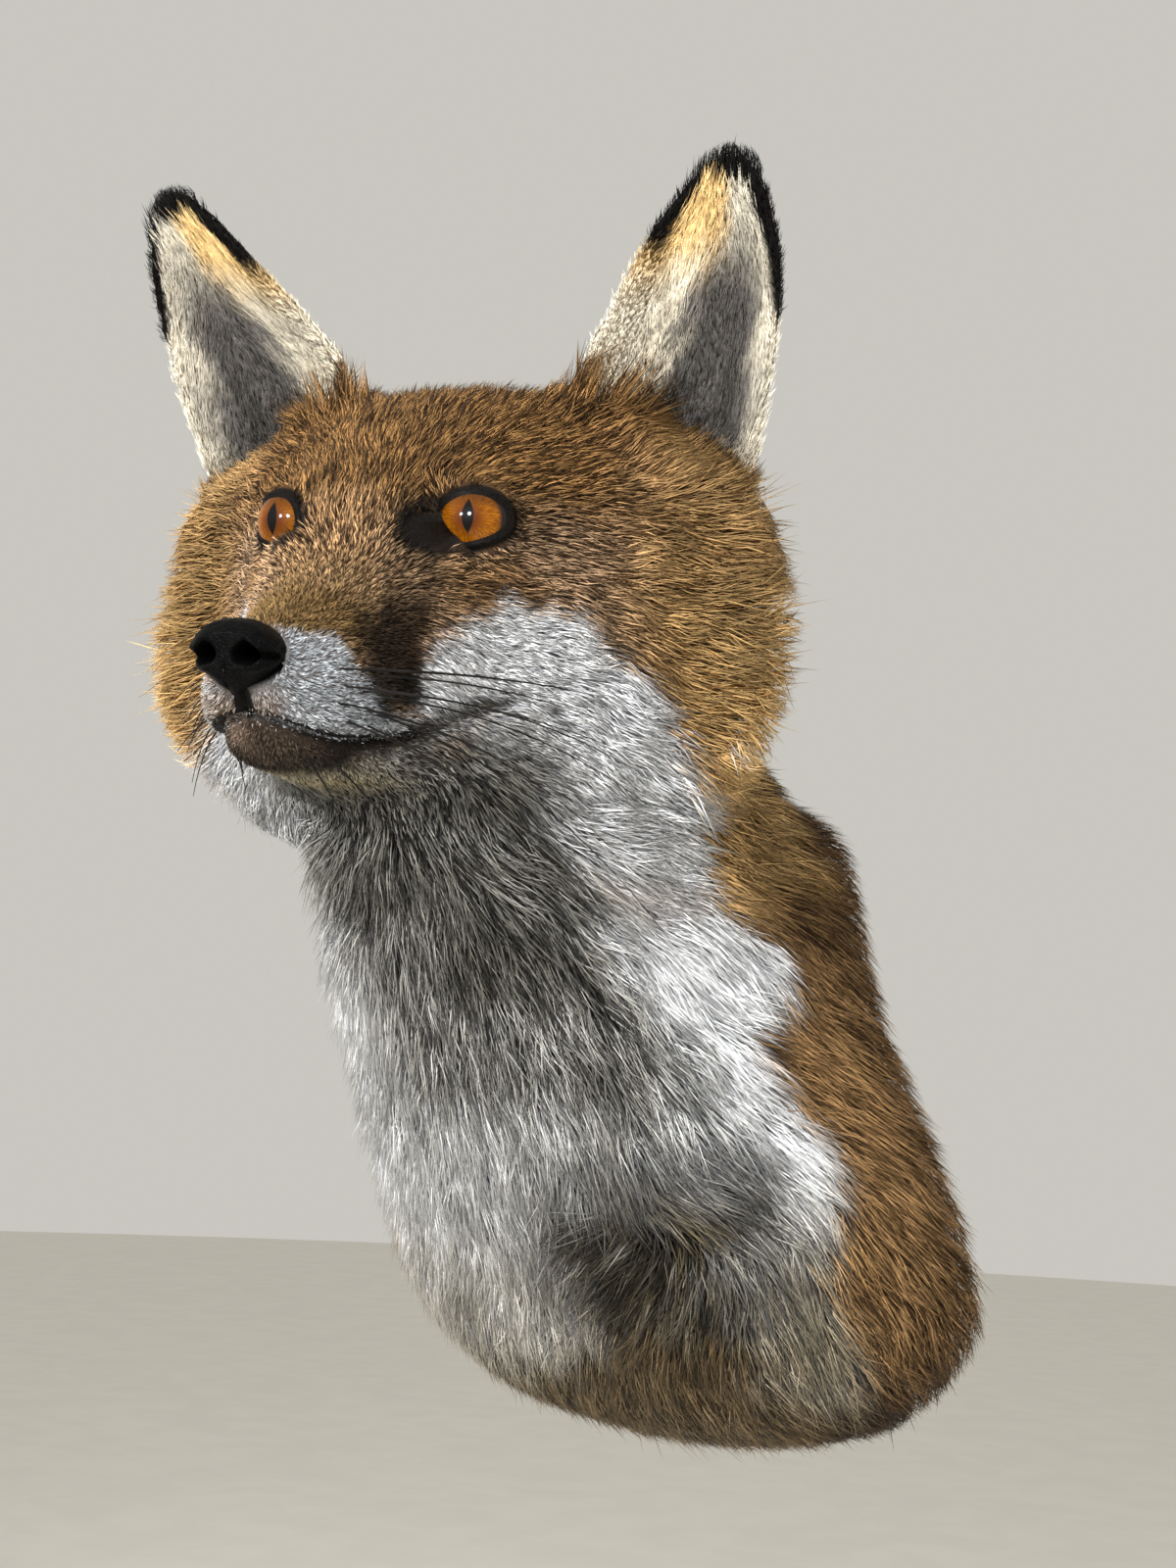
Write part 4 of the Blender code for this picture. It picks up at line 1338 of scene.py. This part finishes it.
def skinMaterial():
    f = Finish("hide")
    spot = f.place()
    colour = f.attribute("coatColour")
    grain = f.noise(spot, 0.7, 3)
    colour = f.mix(grain.between(0.3, 0.75), colour, f.mix(0.5, colour, (0.01, 0.008, 0.006)))
    along = f.node("Mapping", Vector=spot, Scale=(1, 1, 0.25))
    height = f.noise(along, 0.35, 3)
    rough = f.noise(spot, 3).between(0.3, 0.7, 0.45, 0.65)
    return f.set(Base_Color=colour, Roughness=rough, Specular_IOR_Level=0.06,
                 Normal=f.bump(height, 0.25, 0.7))


def noseMaterial():
    f = Finish("noseLeather")
    spot = f.place()
    cells = f.node("TexVoronoi", {"feature": "DISTANCE_TO_EDGE"}, Vector=spot, Scale=1 / 0.75)
    height = cells.between(0.0, 0.25)
    hollow = f.attribute("hollow")
    colour = f.mix(f.noise(spot, 2.5).between(0.35, 0.7), (0.0008, 0.0008, 0.0009), (0.0018, 0.0017, 0.0016))
    # painted shade: the leather darker still inside the nostrils
    colour = f.mix(hollow, colour, (0.0002, 0.0002, 0.0002))
    rough = height.between(0.0, 1.0, 0.5, 0.36)
    return f.set(Base_Color=colour, Roughness=rough + hollow * (1.0 - rough), Specular_IOR_Level=0.045,
                 Normal=f.bump(height + f.noise(spot, 0.3) * 0.4, 0.12, 0.8))


def eyeMaterial():
    f = Finish("eyeGlass")
    face = f.node("Attribute", {"attribute_name": "eyeFace"}, output=1)
    parts = f.node("SeparateXYZ", Vector=face)
    node = parts.socket.node
    x, y, z = (Wire(f.tree, node.outputs[k]) for k in range(3))
    far = (x * x + y * y).math("SQRT")
    turn = y.math("ARCTAN2", x)
    ray = f.node("CombineXYZ", X=turn * 9.0, Y=far * 3.0, Z=0.0)
    streak = f.noise(ray, 0.5, 4, 0.65)
    amber = f.mix(streak.between(0.35, 0.7), paint(80, 40, 4), paint(134, 80, 6))
    amber = f.mix(far.between(0.2, 0.6), paint(70, 31, 6), amber)
    # painted shadow of the upper lid: the iris darkens towards its top
    amber = f.mix(y.between(0.15, 0.6, 0.0, 0.75), amber, paint(34, 14, 4))
    amber = f.mix(far.between(0.76, 0.88), amber, (0.004, 0.003, 0.003))
    tall = (y - 0.05) * (1 / 0.46)
    lens = (1.0 - tall * tall).math("MAXIMUM", 0.0)
    inside = (x.math("ABSOLUTE") - lens * 0.165).between(-0.012, 0.012)
    amber = f.mix(inside, (0.002, 0.002, 0.002), amber)
    amber = f.mix(z.between(-0.05, 0.1), (0.004, 0.003, 0.003), amber)
    return f.set(Base_Color=amber, Roughness=0.4, Specular_IOR_Level=0.05, Coat_Weight=0.6,
                 Coat_Roughness=0.012, Coat_IOR=1.35)


def whiskerMaterial():
    f = Finish("whisker")
    shade = f.noise(f.place(), 6)
    return f.set(Base_Color=f.mix(shade.between(0.3, 0.7), (0.003, 0.003, 0.003), (0.012, 0.010, 0.009)),
                 Roughness=shade.between(0.3, 0.7, 0.45, 0.6), Specular_IOR_Level=0.1)


def woodMaterial():
    f = Finish("boardWood")
    spot = f.place()
    grain = f.node("Mapping", Vector=spot, Scale=(0.35, 1, 0.03))
    rings = f.noise(grain, 1.4, 4, 0.6)
    fine = f.noise(f.node("Mapping", Vector=spot, Scale=(3.0, 3.0, 0.12)), 1.0, 3)
    colour = f.mix(rings.between(0.3, 0.7), paint(176, 132, 84), paint(124, 84, 48))
    colour = f.mix(fine.between(0.45, 0.75, 0, 0.5), colour, paint(90, 58, 34))
    return f.set(Base_Color=colour, Roughness=fine.between(0.3, 0.7, 0.55, 0.75),
                 Normal=f.bump(fine, 0.15, 0.5))


def steelMaterial():
    f = Finish("hangerSteel")
    spot = f.place()
    worn = f.noise(spot, 1.2, 4)
    colour = f.mix(worn.between(0.4, 0.7), paint(196, 190, 176), paint(120, 112, 100))
    return f.set(Base_Color=colour, Metallic=1.0, Roughness=worn.between(0.3, 0.7, 0.28, 0.5),
                 Normal=f.bump(worn, 0.05, 0.4))


def floorMaterial():
    f = Finish("floor")
    spot = f.place()
    colour = f.mix(f.noise(spot, 60).between(0.3, 0.7), paint(226, 223, 215), paint(230, 227, 219))
    return f.set(Base_Color=colour, Roughness=0.8)


def paintSkin(skin, found):
    points, normals, ears = (found[key] for key in ("points", "normals", "ears"))
    tip, root, mixed = finishEars(normals, ears, found["ear"], markings(points, ears))
    # the underfur's colour, darkened as painted shade between the tufts
    colour = root * 0.75 + tip * 0.12
    head = toHead(points)
    fold = bothSides(head)
    dark = roundEyes(head, 1.34, 1.5)
    for names, low, high in ((("tearLeft", "tearRight"), 3.6, 5.2), (("mouth",), 1.3, 2.1),
                             (("philtrum",), 2.0, 2.8)):
        dark = np.maximum(dark, fade(nearLine(head, *names), low, high))
    # black skin round and behind the nose: black leather, and painted shade where it shows through the
    # nostrils
    dark = np.maximum(dark, ball(fold, (0, 66, -37.5), (10.5, 9, 7.5), 0.2))
    colourPoints(skin.data, blend(colour, paint(8, 7, 7), dark[:, None]))


def coverWith(thing, material):
    thing.data.materials.clear()
    thing.data.materials.append(material)


def dress(thing, material):
    coverWith(thing, material)


paintSkin(skin, found)
hair = coatMaterial()
for piece in coat:
    dress(piece, hair)
dress(skin, skinMaterial())
dress(nose, noseMaterial())
glass = eyeMaterial()
for eye in eyes:
    dress(eye, glass)
black = whiskerMaterial()
whiskerValues = {"Thickness": whiskerShape["thick"] * mm, "Sides": whiskerShape["sides"], "Material": black}
whiskers = growTree(whiskerPaths(), *bristleTree(), whiskerValues)
dress(whiskers, black)
coverWith(nodes["backboard"], woodMaterial())
coverWith(nodes["hanger"], steelMaterial())

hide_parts("head", "lower_jaw", "neck", "chest", "ear_left", "ear_right")
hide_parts("nose_pad")
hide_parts("eye_left")
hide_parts("eye_right")
for piece in (skin, nose, *eyes, *coat, whiskers):
    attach(piece, "root")


# floor, lights and camera
studio = {"floorBelow": 0.35, "world": 0.70, "key": 6, "front": 7, "fill": 1.9, "top": 0.6, "spark": 2.4}
cameraSpot = {"place": (0.3368, -0.4475, -0.008), "turn": 41, "rise": 11, "roll": 2.65, "lens": 40.5}


def addLight(name, place, target, power, size, glint=False):
    lamp = bpy.data.lights.new(name, "AREA")
    lamp.energy = power
    lamp.size = size
    lamp.shape = "DISK"
    lamp.spread = math.radians(180 if glint else 70)
    thing = addObject(name, lamp)
    thing.location = place
    thing.rotation_euler = (Vector(target) - Vector(place)).to_track_quat("-Z", "Y").to_euler()
    # the glints show in the glass and light nothing, and the other lights don't show there
    thing.visible_glossy = glint
    thing.visible_diffuse = not glint


def makeStudio():
    bm = bmesh.new()
    bmesh.ops.create_circle(bm, segments=96, radius=6, cap_ends=True)
    mesh = meshOf(bm, "floor")
    level = cadBox[0].z - studio["floorBelow"]
    mesh.transform(Matrix.Translation((0, 0, level)))
    floor = addObject("floor", mesh)
    mesh.materials.append(floorMaterial())
    world = bpy.data.worlds.new("studio")
    bpy.context.scene.world = world
    world.use_nodes = True
    back = world.node_tree.nodes["Background"]
    back.inputs["Color"].default_value = (0.83, 0.81, 0.75, 1)
    back.inputs["Strength"].default_value = studio["world"]
    middle = (0.02, -0.12, 0.07)
    addLight("key", (-0.95, -0.85, 0.70), middle, studio["key"], 0.6)
    addLight("front", (0.55, -1.15, 0.35), middle, studio["front"], 0.9)
    addLight("fill", (1.25, -0.35, 0.15), middle, studio["fill"], 0.6)
    addLight("top", (0.25, -0.5, 1.2), middle, studio["top"], 0.5)
    addLight("spark", (0.283, -0.617, 0.199), middle, studio["spark"], 0.10, True)
    addLight("sparkle", (0.067, -0.675, 0.198), middle, studio["spark"] * 0.55, 0.085, True)


def makeCamera():
    turn, rise, roll = (math.radians(cameraSpot[key]) for key in ("turn", "rise", "roll"))
    ahead = Vector((-math.sin(turn) * math.cos(rise), math.cos(turn) * math.cos(rise), math.sin(rise)))
    right = Vector((math.cos(turn), math.sin(turn), 0))
    down = ahead.cross(right)
    tilted = right * math.cos(roll) - down * math.sin(roll)
    below = right * math.sin(roll) + down * math.cos(roll)
    place = Matrix((tilted, -below, -ahead)).transposed().to_4x4()
    place.translation = cameraSpot["place"]
    lens = bpy.data.cameras.new("camera")
    lens.sensor_fit = "VERTICAL"
    lens.sensor_height = 36
    lens.lens = cameraSpot["lens"]
    lens.clip_start = 0.01
    camera = addObject("camera", lens)
    camera.matrix_world = place
    bpy.context.scene.camera = camera


makeStudio()
makeCamera()
bpy.context.scene.view_settings.view_transform = "Standard"
bpy.context.view_layer.update()
print("finished")
